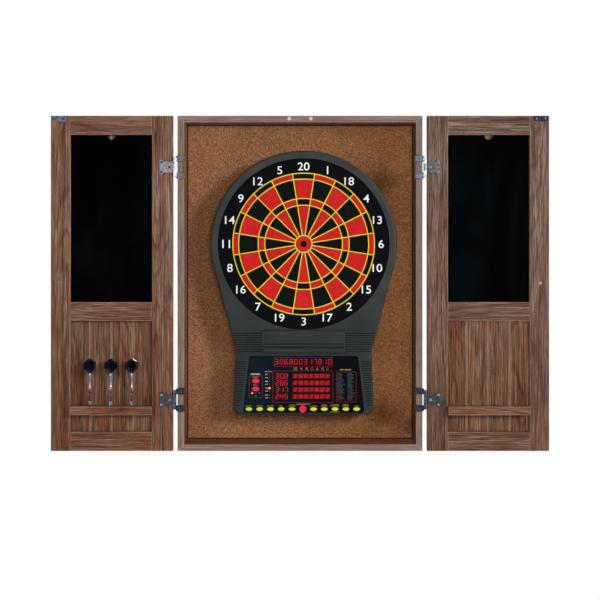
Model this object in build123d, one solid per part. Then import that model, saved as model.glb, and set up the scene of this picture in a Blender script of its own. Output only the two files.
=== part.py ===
from build123d import *
import math
import os

# Wall-hung dart board cabinet with two doors, standing open, and an electronic dart board inside.
# Millimetres.  X runs to the right, Z up and -Y to the front.  The origin is the centre of the
# cabinet's rear face, which lies on the wall.  "u" is the distance from the cabinet's middle plane.

# Carcass
CABINET_W = 668.0
CABINET_H = 914.0
CABINET_D = 118.0
BOARD_T = 18.0
BACK_T = 12.0
BACK_RABBET = 10.0
CORK_T = 6.0
LINER_GAP = 0.5
EASED_EDGE = 1.2

# Wall screws pass the back panel at the spacing of wall studs, behind the dart board
STUD_PITCH = 406.4
WALL_HOLE_RISE = 200.0
WALL_HOLE_Z = 100.0
WALL_HOLE_R = 3.0
CORK_HOLE_R = 7.0

# Doors, in the open position
DOOR_W = 333.0
DOOR_T = 22.0
HINGE_EDGE_U = 346.6
HINGE_STILE = 57.0
FREE_STILE = 54.0
END_RAIL = 52.0
MID_RAIL_TOP = -51.5
MID_RAIL_BOTTOM = -102.6
PLANK_T = 6.0
PLANK_TONGUE = 7.0
PLANK_COUNT = 4
PLANK_BEVEL = 1.5
OUTER_RECESS = 5.0
FRAME_CHAMFER = 2.0
CORNER_R = 3.0
SLATE_T = 4.0
SLATE_GAP = 1.0
SLATE_LIFT = 0.3
NOTCH_R = 12.0

# Dart shelf and darts
SHELF_TOP = -334.0
SHELF_H = 23.7
SHELF_PROUD = 15.0
DART_PITCH = 57.0
DART_PROUD = 7.5
DART_HOLE_R = 2.75
DART_SEAT_R = 4.4
DART_SEAT_D = 2.0
DART_TIP_L = 21.0
DART_TIP_R = 2.4
BARREL_L = 50.0
BARREL_R = 4.0
SHAFT_L = 42.0
SHAFT_R = 2.9
FLIGHT_L = 43.0
FLIGHT_HALF_W = 24.5
FLIGHT_T = 0.6
FLIGHT_TAIL = 8.0

# Hinges
HINGE_AXIS_U = 340.5
HINGE_AXIS_Y = -119.5
HINGE_Z = 317.0
LEAF_T = 1.2
LEAF_HALF_H = 32.0
ARM_H = 17.0
ARM_CORNER_R = 9.0
KNUCKLE_R = 4.0
PIN_R = 2.0
PIN_CLEARANCE = 0.06
DOOR_KNUCKLE_HALF = 8.5
FRAME_KNUCKLE_LOW = 9.0
FRAME_KNUCKLE_HIGH = 26.0
DOOR_LEAF_L = 36.0
DOOR_LEAF_NEAR_H = 17.0
DOOR_LEAF_WAIST_H = 15.0
DOOR_LEAF_FAR_H = 20.5
INNER_PLATE_L = 30.0

# Catches and pulls
MAGNET_U = 29.5
MAGNET_Z = 449.0
MAGNET_R = 4.75
MAGNET_L = 15.6
MAGNET_PROUD = 1.6
STRIKE_L = 40.0
STRIKE_H = 14.5
STRIKE_T = 1.0
STRIKE_EDGE = 3.0
STRIKE_CHAMFER = 5.0
PULL_EDGE = 25.0
PULL_REACH = 12.0
PULL_ROSETTE_R = 8.0
PULL_NECK_R = 3.5
PULL_PIN_R = 1.25
PULL_PIN_L = 16.0
PULL_TAB_W = 18.0
PULL_TAB_H = 43.0
PULL_TAB_T = 4.0
PULL_TAB_ABOVE = 9.0
PULL_SLOT_HALF = 4.5

# Electronic dart board
GAME_X = 10.0
TARGET_Z = 107.0
CASING_R = 257.5
CASING_BOTTOM = -363.4
NECK_HALF = 187.5
NECK_Z = -187.0
FOOT_HALF = 193.5
FOOT_CORNER_R = 20.0
NECK_BLEND_R = 30.0
GAME_FRONT = -80.0
GAME_SPLIT = -46.0
SHELL_WALL = 3.0
SHELL_FACE = 3.5
CASING_EDGE_R = 7.0
FACE_HOLE_R = 236.6

# Target: web rings at their middle radii, then the bull
SECTORS = 20
HALF_SECTOR = math.radians(180.0 / SECTORS)
WEB_W = 2.6
DOUBLE_OUT_R = 195.1
DOUBLE_IN_R = 179.0
TREBLE_OUT_R = 125.5
TREBLE_IN_R = 107.0
BULL_RING_R = 23.4
BULL_RING_W = 3.2
OUTER_BULL_R = 20.9
INNER_BULL_R = 8.6
BED_CLEARANCE = 0.4
WEB_BACK = -66.0
BED_FRONT = -79.0
BED_BACK = -65.6
BED_CHAMFER = 0.6
SENSOR_R = 236.0
SKIRT_T = 5.0
SENSOR_FRONT = -64.4
SENSOR_BACK = -62.0
BACKER_BACK = -57.0
RING_FRONT = -78.5
RING_BACK = -74.5
RING_IN_R = 196.9
RING_OUT_R = 236.2
FLANGE_R = 239.5
FLANGE_BACK = -71.5

# Console
CONSOLE_TOP = -201.0
CONSOLE_BOTTOM = -358.0
CONSOLE_TOP_HALF = 150.0
CONSOLE_BOTTOM_HALF = 168.0
CONSOLE_CORNER_R = 8.0
CONSOLE_SEAT = -78.0
CONSOLE_FRONT = -80.2
BUTTON_PITCH = 29.64
BUTTON_ROW_X = 7.5
BUTTON_ROW_Z = -347.5
BUTTON_ROW_COUNT = 11
GAME_BUTTON_HALF = (9.2, 4.8)
CHANGE_BUTTON_HALF = (9.8, 9.8)
SETUP_BUTTON_HALF = (10.0, 6.5)
SETUP_BUTTON_X = -122.0
SETUP_BUTTON_Z = (-270.3, -292.1)
BUTTON_FRONT = -82.0
BUTTON_FLANGE_FRONT = -76.2
BUTTON_BACK = -74.5
BUTTON_FLANGE = 1.5
BUTTON_CLEARANCE = 0.35
BOARD_FRONT = -70.0
BOARD_BACK = -68.4
SWITCH_FRONT = -72.6
TEXT_WINDOW = (-72.0, 88.0, -229.5, -207.5)
SCORE_WINDOW = (-75.0, 91.0, -328.0, -243.5)
SPEAKER_Z = -166.0
SPEAKER_R = 25.0
SPEAKER_MAGNET_R = 13.0
SPEAKER_REAR = -66.0

# Raised block and ribs on the casing's face
BLOCK_HALF_W = 114.0
BLOCK_TOP = -133.0
BLOCK_BOTTOM = -192.0
BLOCK_PROUD = 2.6
BLOCK_RIM = 4.0
BLOCK_GROOVES = (-168.5, -176.5)
GROOVE_HALF = 1.6
LEDGE_SPAN = (-190.0, -180.5)
LEDGE_PROUD = 5.0
RIB_PITCH = 6.3
RIB_W = 3.0
RIB_DEPTH = 2.0

# Inside of the casing, its keyholes and its power socket
BOSS_R = 5.0
BACKING_RING_R = 229.0
BACKING_RING_T = 4.0
KEYHOLE_DROP = 8.0
KEYHOLE_HEAD_R = 5.5
KEYHOLE_SLOT_R = 2.6
KEYHOLE_REACH = -30.0
HANGER_SHANK_R = 1.72
HANGER_HEAD_R = 4.0
JACK_HOLE_R = 5.6

# Screws: head radius, shank radius and length; their holes are a little larger
SIDE_SCREW_Z = (-380, -127, 127, 380)
END_SCREW_X = (-210, 0, 210)
FRAME_LEAF_SCREW_Z = (-20, 20)
HEAD_SCREW_ANGLES = (35, 145)
FOOT_SCREW_HALF = 174.0
FOOT_SCREW_Z = (-208, -338)
HANGER_HALF = 90.0
HANGER_RISE = 120.0
PANEL_SCREW = (3.6, 1.75, 26.0)
LEAF_SCREW = (3.4, 1.6, 14.0)
PLATE_SCREW = (2.6, 1.3, 12.0)
PULL_SCREW = (4.0, 2.0, 17.0)
HOUSING_SCREW = (3.2, 1.5, 34.0)
HOLE_GROW = 0.03

# Derived places
JACK_X = GAME_X + 120.0
JACK_Y = -34.0
GROOVE_DEPTHS = (GAME_FRONT + 1.8, GAME_FRONT - 10)
THROUGH = (0, -100)
SIDE_U = CABINET_W / 2
TOP_Z = CABINET_H / 2
FRONT_Y = -CABINET_D
CORK_FACE = -BACK_T - CORK_T
INNER_U = SIDE_U - BOARD_T
INNER_Z = TOP_Z - BOARD_T
FREE_EDGE_U = HINGE_EDGE_U + DOOR_W
DOOR_BACK = FRONT_Y + DOOR_T
OPENING_LOW_U = HINGE_EDGE_U + HINGE_STILE
OPENING_HIGH_U = FREE_EDGE_U - FREE_STILE
OPENING_MID_U = (OPENING_LOW_U + OPENING_HIGH_U) / 2
PANEL_BACK = DOOR_BACK - OUTER_RECESS
PANEL_FRONT = PANEL_BACK - PLANK_T
RAIL_EDGE_Z = TOP_Z - END_RAIL
DART_Y = FRONT_Y - DART_PROUD
DART_NOSE_Z = SHELF_TOP - DART_SEAT_D
PULL_U = FREE_EDGE_U - PULL_EDGE
PULL_Y = DOOR_BACK + PULL_REACH


# ---------------------------------------------------------------- shared shapes

def block(x0, x1, y0, y1, z0, z1):
    """A box between three pairs of planes."""
    centre = Pos((x0 + x1) / 2, (y0 + y1) / 2, (z0 + z1) / 2)
    return centre * Box(abs(x1 - x0), abs(y1 - y0), abs(z1 - z0))


def slab(outline, y_back, y_front):
    """An outline drawn in X and Z, given its thickness from y_back forward to y_front."""
    plane = Plane(origin=(0, y_back, 0), x_dir=(1, 0, 0), z_dir=(0, -1, 0))
    return extrude(plane * outline, amount=y_back - y_front, dir=(0, -1, 0))


def disc(x, z, radius, y_back, y_front):
    """A round bar along Y."""
    return slab(Pos(x, z) * Circle(radius), y_back, y_front)


def post(x, y, radius, z_low, z_high):
    """A round bar along Z."""
    return Pos(x, y, (z_low + z_high) / 2) * Cylinder(radius, z_high - z_low)


def other_side(shape):
    """The same shape on the left of the cabinet's middle plane."""
    return mirror(shape, about=Plane.YZ)


def both_sides(shape):
    return [shape, other_side(shape)]


def soften(shape, axis, at, size):
    """Chamfers the outline of the face that lies furthest out along an axis."""
    face = shape.faces().sort_by(axis)[at]
    return chamfer(face.outer_wire().edges(), size)


def screw(head_r, shank_r, length, grow=0.0):
    """Countersunk screw: head face at the origin, shank down -Z, grown a little for its hole."""
    head_depth = head_r - shank_r
    head = Cone(shank_r + grow, head_r + grow, head_depth)
    shank = Cylinder(shank_r + grow, length - head_depth)
    return Pos(0, 0, -head_depth / 2) * head + Pos(0, 0, -head_depth - (length - head_depth) / 2) * shank


def facing(point, direction):
    """Places a shape whose own +Z is to point along a direction."""
    return Plane(origin=point, z_dir=direction).location


def write(name, *shapes):
    """Writes one named sub-part, as many separate solids as it is given."""
    solids = [solid for shape in shapes for solid in shape.solids()]
    whole = solids[0] if len(solids) == 1 else Compound(children=solids)
    whole.label = name
    export_step(whole, f"parts/{name}.step")


# ---------------------------------------------------------------- screws and their holes

def panel_screw_places():
    """Round the edge of the back panel, driven from behind into the carcass boards."""
    edge_u = INNER_U + BACK_RABBET / 2
    edge_z = INNER_Z + BACK_RABBET / 2
    on_sides = [(side * edge_u, z) for side in (-1, 1) for z in SIDE_SCREW_Z]
    on_ends = [(x, side * edge_z) for side in (-1, 1) for x in END_SCREW_X]
    return [facing((x, 0, z), (0, 1, 0)) for x, z in on_sides + on_ends]


def frame_leaf_screw_places():
    """Two in each hinge's inner plate, into the carcass side."""
    y = FRONT_Y + INNER_PLATE_L / 2 + 2
    u = INNER_U - LEAF_T
    heights = [end * HINGE_Z + offset for end in (-1, 1) for offset in FRAME_LEAF_SCREW_Z]
    return [facing((side * u, y, z), (-side, 0, 0)) for side in (-1, 1) for z in heights]


def door_leaf_screw_places():
    """Three in each door leaf of the right door: two in the flared end and one near the knuckle."""
    far_u = HINGE_EDGE_U + DOOR_LEAF_L - 5
    near_u = HINGE_EDGE_U + 9
    spots = [(far_u, 13.5), (far_u, -13.5), (near_u, 0)]
    y = FRONT_Y - LEAF_T - 0.3
    return [facing((u, y, end * HINGE_Z + z), (0, -1, 0)) for end in (-1, 1) for u, z in spots]


def strike_screw_places():
    z = TOP_Z - STRIKE_H / 2 - 0.5
    spots = [FREE_EDGE_U - STRIKE_EDGE - STRIKE_L / 2 + offset for offset in (-12, 12)]
    return [facing((u, FRONT_Y - STRIKE_T - 0.2, z), (0, -1, 0)) for u in spots]


def pull_screw_place():
    """Its head sits in the door's inner face, and it holds the pull on the outer face."""
    return facing((PULL_U, FRONT_Y + 0.6, 0), (0, -1, 0))


def housing_screw_spots():
    """Bosses that join the two halves of the electronic board's casing."""
    ring_r = (FACE_HOLE_R + CASING_R) / 2 - 0.5
    round_head = [
        (GAME_X + ring_r * math.cos(math.radians(a)), TARGET_Z + ring_r * math.sin(math.radians(a)))
        for a in HEAD_SCREW_ANGLES
    ]
    in_foot = [(GAME_X + side * FOOT_SCREW_HALF, z) for side in (-1, 1) for z in FOOT_SCREW_Z]
    return round_head + in_foot


def hanger_spots():
    """The two screws in the back panel that the electronic board hangs on."""
    return [(GAME_X + side * HANGER_HALF, TARGET_Z + HANGER_RISE) for side in (-1, 1)]


def screws(kind, places):
    return [place * screw(*kind) for place in places]


def drill(shape, kind, places):
    for place in places:
        shape -= place * screw(*kind, grow=HOLE_GROW)
    return shape


# ---------------------------------------------------------------- carcass

def carcass_board(u_half, z_half):
    """The top board of a mitred box, with the rabbet for the back panel, its front edge eased."""
    outline = Polygon(
        (-u_half, z_half), (u_half, z_half), (u_half - BOARD_T, z_half - BOARD_T),
        (-u_half + BOARD_T, z_half - BOARD_T), align=None,
    )
    board = slab(outline, 0, FRONT_Y)
    long_edges = board.faces().sort_by(Axis.Y)[0].edges().filter_by(Axis.X)
    board = chamfer(long_edges, EASED_EDGE)
    rabbet_z = z_half - BOARD_T + BACK_RABBET
    return board - block(-u_half, u_half, -BACK_T, 1, rabbet_z, z_half - BOARD_T - 1)


def carcass_top():
    board = carcass_board(SIDE_U, TOP_Z)
    for u in (-MAGNET_U, MAGNET_U):
        board -= disc(u, MAGNET_Z, MAGNET_R + 0.02, FRONT_Y + MAGNET_L - MAGNET_PROUD, FRONT_Y - 1)
    return drill(board, PANEL_SCREW, panel_screw_places())


def carcass_bottom():
    board = Rot(0, 180, 0) * carcass_board(SIDE_U, TOP_Z)
    return drill(board, PANEL_SCREW, panel_screw_places())


def carcass_right_side():
    board = Rot(0, 90, 0) * carcass_board(TOP_Z, SIDE_U)
    board = drill(board, PANEL_SCREW, panel_screw_places())
    return drill(board, LEAF_SCREW, frame_leaf_screw_places())


def wall_hole_spots():
    rise = WALL_HOLE_RISE / 2
    return [(x, WALL_HOLE_Z + z) for x in (-STUD_PITCH / 2, STUD_PITCH / 2) for z in (-rise, rise)]


def back_panel():
    half_w = INNER_U + BACK_RABBET - LINER_GAP
    half_h = INNER_Z + BACK_RABBET - LINER_GAP
    panel = block(-half_w, half_w, -BACK_T, 0, -half_h, half_h)
    for x, z in wall_hole_spots():
        panel -= disc(x, z, WALL_HOLE_R, 1, -BACK_T - 1)
    for x, z in hanger_spots():
        panel -= disc(x, z, HANGER_SHANK_R + HOLE_GROW, 1, -BACK_T - 1)
    return drill(panel, PANEL_SCREW, panel_screw_places())


def cork_lining():
    half_w = INNER_U - LINER_GAP
    half_h = INNER_Z - LINER_GAP
    lining = block(-half_w, half_w, CORK_FACE, -BACK_T, -half_h, half_h)
    for x, z in wall_hole_spots():
        lining -= disc(x, z, CORK_HOLE_R, 1, CORK_FACE - 1)
    for x, z in hanger_spots():
        lining -= disc(x, z, HANGER_SHANK_R + 0.5, 1, CORK_FACE - 1)
    return lining


def catch_magnet(u):
    """A magnet in a steel cup, let into the front edge of the top board."""
    magnet = disc(u, MAGNET_Z, MAGNET_R, FRONT_Y + MAGNET_L - MAGNET_PROUD, FRONT_Y - MAGNET_PROUD)
    return chamfer(magnet.faces().sort_by(Axis.Y)[0].edges(), 0.5)


# ---------------------------------------------------------------- hinges

def frame_leaf(z):
    """Wraps from the inner face of the carcass side, round the front edge, to the knuckles."""
    inner_u = INNER_U - LEAF_T
    face_y = FRONT_Y - LEAF_T
    leaf = block(inner_u, INNER_U, face_y, FRONT_Y + INNER_PLATE_L, z - LEAF_HALF_H, z + LEAF_HALF_H)
    for end in (-1, 1):
        near = z + end * (LEAF_HALF_H - ARM_H)
        far = z + end * LEAF_HALF_H
        arm = block(inner_u, HINGE_AXIS_U, face_y, FRONT_Y, near, far)
        outer_corner = arm.edges().filter_by(Axis.Y).group_by(Axis.X)[-1].sort_by(Axis.Z)
        arm = fillet(outer_corner[-1 if end > 0 else 0], ARM_CORNER_R)
        low = z + end * FRAME_KNUCKLE_LOW
        high = z + end * FRAME_KNUCKLE_HIGH
        knuckle = post(HINGE_AXIS_U, HINGE_AXIS_Y, KNUCKLE_R, min(low, high), max(low, high))
        leaf += arm + knuckle
    leaf -= post(HINGE_AXIS_U, HINGE_AXIS_Y, PIN_R, z - 40, z + 40)
    return leaf


def frame_leaves():
    leaves = []
    for z in (-HINGE_Z, HINGE_Z):
        leaf = drill(frame_leaf(z), LEAF_SCREW, frame_leaf_screw_places())
        leaves += both_sides(leaf)
    return leaves


def hinge_pin(z):
    """Headless pin, flush with the ends of the frame leaf's knuckles."""
    pin = post(HINGE_AXIS_U, HINGE_AXIS_Y, PIN_R, z - FRAME_KNUCKLE_HIGH, z + FRAME_KNUCKLE_HIGH)
    return chamfer(pin.edges().filter_by(GeomType.CIRCLE), 0.4)


def door_leaf(z):
    """Waisted plate on the door's inner face, with its knuckle between the frame leaf's two."""
    near_u = HINGE_EDGE_U + 0.3
    far_u = near_u + DOOR_LEAF_L
    waist_u = near_u + 5
    flare_u = far_u - 12
    upper = [
        (near_u, DOOR_LEAF_NEAR_H), (waist_u, DOOR_LEAF_WAIST_H), (flare_u, DOOR_LEAF_WAIST_H),
        (far_u - 9, DOOR_LEAF_FAR_H - 1.5), (far_u - 6, DOOR_LEAF_FAR_H), (far_u, DOOR_LEAF_FAR_H),
    ]
    lower = [(u, -h) for u, h in reversed(upper)]
    plate = slab(Pos(0, z) * Polygon(*upper, *lower, align=None), FRONT_Y, FRONT_Y - LEAF_T)
    corners = plate.edges().filter_by(Axis.Y).group_by(Axis.X)[-1]
    plate = fillet(corners, 3.0)
    web = block(
        HINGE_AXIS_U, near_u + 1, FRONT_Y - LEAF_T, FRONT_Y, z - DOOR_KNUCKLE_HALF, z + DOOR_KNUCKLE_HALF
    )
    knuckle = post(HINGE_AXIS_U, HINGE_AXIS_Y, KNUCKLE_R, z - DOOR_KNUCKLE_HALF, z + DOOR_KNUCKLE_HALF)
    leaf = plate + web + knuckle
    return leaf - post(HINGE_AXIS_U, HINGE_AXIS_Y, PIN_R + PIN_CLEARANCE, z - 20, z + 20)


# ---------------------------------------------------------------- right door; the left mirrors it

def plank_groove():
    """The slot round the inside of the door frame that holds the planks."""
    return block(
        OPENING_LOW_U - PLANK_TONGUE - LINER_GAP, OPENING_HIGH_U + PLANK_TONGUE + LINER_GAP,
        PANEL_FRONT, PANEL_BACK,
        -RAIL_EDGE_Z - PLANK_TONGUE - LINER_GAP, RAIL_EDGE_Z + PLANK_TONGUE + LINER_GAP,
    )


def door_stile(u0, u1, opening_side):
    """Full-height upright; the edge along the opening is chamfered on the door's inner face."""
    stile = block(u0, u1, FRONT_Y, DOOR_BACK, -TOP_Z, TOP_Z)
    uprights = stile.edges().filter_by(Axis.Z)
    outer = uprights.group_by(Axis.X)[0 if opening_side > 0 else -1]
    stile = fillet(outer, CORNER_R)
    inner = stile.edges().filter_by(Axis.Z).group_by(Axis.X)[-1 if opening_side > 0 else 0]
    return chamfer(inner, FRAME_CHAMFER)


def door_stiles():
    hinge_stile = door_stile(HINGE_EDGE_U, OPENING_LOW_U, 1)
    free_stile = door_stile(OPENING_HIGH_U, FREE_EDGE_U, -1)
    frame = []
    for stile in (hinge_stile, free_stile):
        stile -= plank_groove()
        stile = drill(stile, LEAF_SCREW, door_leaf_screw_places())
        stile = drill(stile, PLATE_SCREW, strike_screw_places())
        stile -= disc(PULL_U, 0, PULL_SCREW[1] + HOLE_GROW, DOOR_BACK + 1, FRONT_Y - 1)
        stile -= disc(PULL_U, 0, PULL_SCREW[0] + 0.6, FRONT_Y + 3.4, FRONT_Y - 1)
        frame.append(stile)
    return frame


def door_rail(z_low, z_high, y_back):
    rail = block(OPENING_LOW_U, OPENING_HIGH_U, FRONT_Y, y_back, z_low, z_high)
    front_edges = rail.faces().sort_by(Axis.Y)[0].edges().filter_by(Axis.X)
    return chamfer(front_edges, FRAME_CHAMFER / 2)


def door_rails():
    """Top and bottom rails of full thickness, and the thin mid rail on the inner face."""
    top = door_rail(RAIL_EDGE_Z, TOP_Z, DOOR_BACK) - plank_groove()
    bottom = door_rail(-TOP_Z, -RAIL_EDGE_Z, DOOR_BACK) - plank_groove()
    middle = door_rail(MID_RAIL_BOTTOM, MID_RAIL_TOP, PANEL_FRONT)
    return [drill(top, PLATE_SCREW, strike_screw_places()), bottom, middle]


def door_planks():
    """Upright planks side by side in the frame's groove, with bevelled seams on both faces."""
    low_u = OPENING_LOW_U - PLANK_TONGUE
    width = (OPENING_HIGH_U + PLANK_TONGUE - low_u) / PLANK_COUNT
    half_h = RAIL_EDGE_Z + PLANK_TONGUE
    planks = []
    for index in range(PLANK_COUNT):
        u0 = low_u + index * width
        plank = block(u0, u0 + width, PANEL_FRONT, PANEL_BACK, -half_h, half_h)
        planks.append(chamfer(plank.edges().filter_by(Axis.Z), PLANK_BEVEL))
    return planks


def blackboard():
    """Writing panel that lifts out of the upper opening by its finger notch."""
    top_z = RAIL_EDGE_Z - SLATE_GAP
    bottom_z = MID_RAIL_TOP + SLATE_GAP
    back_y = PANEL_FRONT - SLATE_LIFT
    panel = block(
        OPENING_LOW_U + SLATE_GAP, OPENING_HIGH_U - SLATE_GAP, back_y - SLATE_T, back_y, bottom_z, top_z
    )
    panel -= disc(OPENING_MID_U, top_z, NOTCH_R, back_y + 1, back_y - SLATE_T - 1)
    return panel


def dart_places():
    return [OPENING_MID_U + step * DART_PITCH for step in (-1, 0, 1)]


def dart_shelf():
    """Ledge with three stepped holes: a seat for the barrel's nose above a hole for the tip."""
    front_y = FRONT_Y - SHELF_PROUD
    shelf = block(OPENING_LOW_U, OPENING_HIGH_U, front_y, PANEL_FRONT, SHELF_TOP - SHELF_H, SHELF_TOP)
    shelf = chamfer(shelf.faces().sort_by(Axis.Y)[0].edges().filter_by(Axis.X), FRAME_CHAMFER)
    for u in dart_places():
        shelf -= post(u, DART_Y, DART_HOLE_R, SHELF_TOP - SHELF_H - 1, SHELF_TOP + 1)
        shelf -= post(u, DART_Y, DART_SEAT_R, SHELF_TOP - DART_SEAT_D, SHELF_TOP + 1)
    return shelf


def strike_plate():
    """Steel plate that meets the catch magnet when the door is shut."""
    u1 = FREE_EDGE_U - STRIKE_EDGE
    u0 = u1 - STRIKE_L
    z1 = TOP_Z - 0.5
    z0 = z1 - STRIKE_H
    outline = Polygon(
        (u0, z0 + 2), (u0 + 2, z0), (u1 - STRIKE_CHAMFER, z0), (u1, z0 + STRIKE_CHAMFER), (u1, z1),
        (u0, z1), align=None,
    )
    plate = slab(outline, FRONT_Y, FRONT_Y - STRIKE_T)
    dimple_z = (z0 + z1) / 2
    plate -= disc((u0 + u1) / 2, dimple_z, 2.0, FRONT_Y - STRIKE_T + 0.5, FRONT_Y - STRIKE_T - 1)
    return drill(plate, PLATE_SCREW, strike_screw_places())


def pull_post():
    """Rosette and neck on the door's outer face, with the cross pin that the tab hangs on."""
    rosette = disc(PULL_U, 0, PULL_ROSETTE_R, DOOR_BACK + 2, DOOR_BACK)
    rosette = chamfer(rosette.faces().sort_by(Axis.Y)[-1].edges(), 0.8)
    neck = disc(PULL_U, 0, PULL_NECK_R, PULL_Y + 2.6, DOOR_BACK)
    pin = Pos(PULL_U, PULL_Y, 0) * Rot(0, 90, 0) * Cylinder(PULL_PIN_R, PULL_PIN_L)
    return rosette + neck + pin - disc(PULL_U, 0, PULL_SCREW[1] + HOLE_GROW, DOOR_BACK + 2, DOOR_BACK - 1)


def pull_tab():
    """Flat tab with two ears, one each side of the neck, that swings on the cross pin."""
    half_w = PULL_TAB_W / 2
    low = PULL_TAB_ABOVE - PULL_TAB_H
    tab = block(
        PULL_U - half_w, PULL_U + half_w, PULL_Y - PULL_TAB_T / 2, PULL_Y + PULL_TAB_T / 2,
        low, PULL_TAB_ABOVE,
    )
    tab = fillet(tab.edges().filter_by(Axis.Y), 2.0)
    tab = chamfer(tab.faces().sort_by(Axis.Y)[-1].outer_wire().edges(), 0.7)
    tab -= block(PULL_U - PULL_SLOT_HALF, PULL_U + PULL_SLOT_HALF, -200, 0, -7, 20)
    return tab - Pos(PULL_U, PULL_Y, 0) * Rot(0, 90, 0) * Cylinder(PULL_PIN_R + PIN_CLEARANCE, 40)


def door_screws():
    leaf = screws(LEAF_SCREW, door_leaf_screw_places())
    strike = screws(PLATE_SCREW, strike_screw_places())
    return leaf + strike + [pull_bolt()]


def pull_bolt():
    """Pan-head screw in a counterbore, through the stile into the back of the neck."""
    head = disc(PULL_U, 0, PULL_SCREW[0], FRONT_Y + 3.4, FRONT_Y + 0.8)
    shank = disc(PULL_U, 0, PULL_SCREW[1], DOOR_BACK + 2, FRONT_Y + 3.4)
    return head + shank - disc(PULL_U, 0, 1.1, FRONT_Y + 1.8, FRONT_Y)


# ---------------------------------------------------------------- darts, in the left door's shelf

def flight_cross(u, top_z):
    """Two crossed vanes at 45 degrees to the door, with a short tail held in the shaft."""
    tip_half_w = FLIGHT_HALF_W * 0.3
    tail_half_w = SHAFT_R * 0.6
    shoulder = top_z - FLIGHT_L * 0.2
    hip = top_z - FLIGHT_L * 0.58
    bottom = top_z - FLIGHT_L
    right = [
        (tip_half_w, top_z), (FLIGHT_HALF_W, shoulder), (FLIGHT_HALF_W, hip), (tail_half_w, bottom),
        (tail_half_w, bottom - FLIGHT_TAIL),
    ]
    left = [(-x, z) for x, z in reversed(right)]
    outline = Polygon(*right, *left, align=None)
    vane = slab(outline, FLIGHT_T / 2, -FLIGHT_T / 2)
    cross = Rot(0, 0, 45) * vane + Rot(0, 0, -45) * vane
    return Pos(u, DART_Y, 0) * cross


def turned(u, profile):
    """A round piece on the dart's axis from (radius, height) pairs, closed along the axis."""
    points = [(0, profile[0][1])] + profile + [(0, profile[-1][1])]
    face = Plane.XZ * Polygon(*points, align=None)
    return Pos(u, DART_Y, 0) * revolve(face, Axis.Z)


def dart_barrel(u):
    """Cylindrical barrel with ring grooves for grip and a rounded nose."""
    low = DART_NOSE_Z
    high = low + BARREL_L
    profile = [(BARREL_R - 1.2, low), (BARREL_R, low + 2)]
    groove_count = 12
    pitch = (BARREL_L - 14) / groove_count
    for index in range(groove_count):
        z = low + 7 + index * pitch
        profile += [(BARREL_R, z), (BARREL_R - 0.4, z + 0.5), (BARREL_R - 0.4, z + 1.2), (BARREL_R, z + 1.7)]
    profile += [(BARREL_R, high - 5), (SHAFT_R + 0.2, high)]
    return turned(u, profile)


def dart(u):
    """Soft tip, barrel, shaft and flight."""
    barrel_top = DART_NOSE_Z + BARREL_L
    shaft_top = barrel_top + SHAFT_L
    flight = flight_cross(u, shaft_top - FLIGHT_TAIL + 6 + FLIGHT_L)
    tip = turned(u, [(0.6, DART_NOSE_Z - DART_TIP_L), (1.2, DART_NOSE_Z - DART_TIP_L + 2),
                     (DART_TIP_R, DART_NOSE_Z - 8), (DART_TIP_R, DART_NOSE_Z)])
    shaft = turned(u, [(SHAFT_R, barrel_top), (SHAFT_R - 0.9, barrel_top + 12),
                       (SHAFT_R - 0.9, shaft_top - 14), (SHAFT_R - 0.3, shaft_top)])
    return [tip, dart_barrel(u), shaft - flight, flight]


# ---------------------------------------------------------------- electronic board: casing

def head_tangent(inset=0.0):
    """Where the straight flank leaves the round head, on the right, before the shift to GAME_X."""
    radius = CASING_R - inset
    neck_x = NECK_HALF - inset
    drop = NECK_Z - TARGET_Z
    angle = math.atan2(drop, neck_x) + math.acos(radius / math.hypot(neck_x, drop))
    return radius * math.cos(angle), TARGET_Z + radius * math.sin(angle)


def casing_outline(inset=0.0):
    """A round head that runs by tangents into a narrower foot with rounded corners."""
    tangent = head_tangent(inset)
    right = [tangent, (NECK_HALF - inset, NECK_Z), (FOOT_HALF - inset, CASING_BOTTOM + inset)]
    left = [(-x, z) for x, z in reversed(right)]
    head = ThreePointArc(left[-1], (0, TARGET_Z + CASING_R - inset), tangent)
    body = make_face([head, Polyline(*right, *left)])
    body = fillet(body.vertices().sort_by(Axis.Y)[:2], FOOT_CORNER_R - inset)
    necks = [v for v in body.vertices() if abs(v.Y - NECK_Z) < 1]
    return Pos(GAME_X, 0) * fillet(necks, NECK_BLEND_R + inset)


def casing_half_width(z):
    """Half the casing's width at a height below its round head."""
    if z > NECK_Z:
        top_x, top_z = head_tangent()
        return NECK_HALF + (top_x - NECK_HALF) * (z - NECK_Z) / (top_z - NECK_Z)
    return FOOT_HALF + (NECK_HALF - FOOT_HALF) * (z - CASING_BOTTOM) / (NECK_Z - CASING_BOTTOM)


def console_half_width(z):
    share = (CONSOLE_TOP - z) / (CONSOLE_TOP - CONSOLE_BOTTOM)
    return CONSOLE_TOP_HALF + share * (CONSOLE_BOTTOM_HALF - CONSOLE_TOP_HALF)


def console_outline(grow=0.0):
    outline = Polygon(
        (-CONSOLE_TOP_HALF, CONSOLE_TOP), (CONSOLE_TOP_HALF, CONSOLE_TOP),
        (CONSOLE_BOTTOM_HALF, CONSOLE_BOTTOM), (-CONSOLE_BOTTOM_HALF, CONSOLE_BOTTOM), align=None,
    )
    outline = fillet(outline.vertices(), CONSOLE_CORNER_R)
    if grow:
        outline = offset(outline, amount=grow)
    return Pos(GAME_X, 0) * outline


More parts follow.
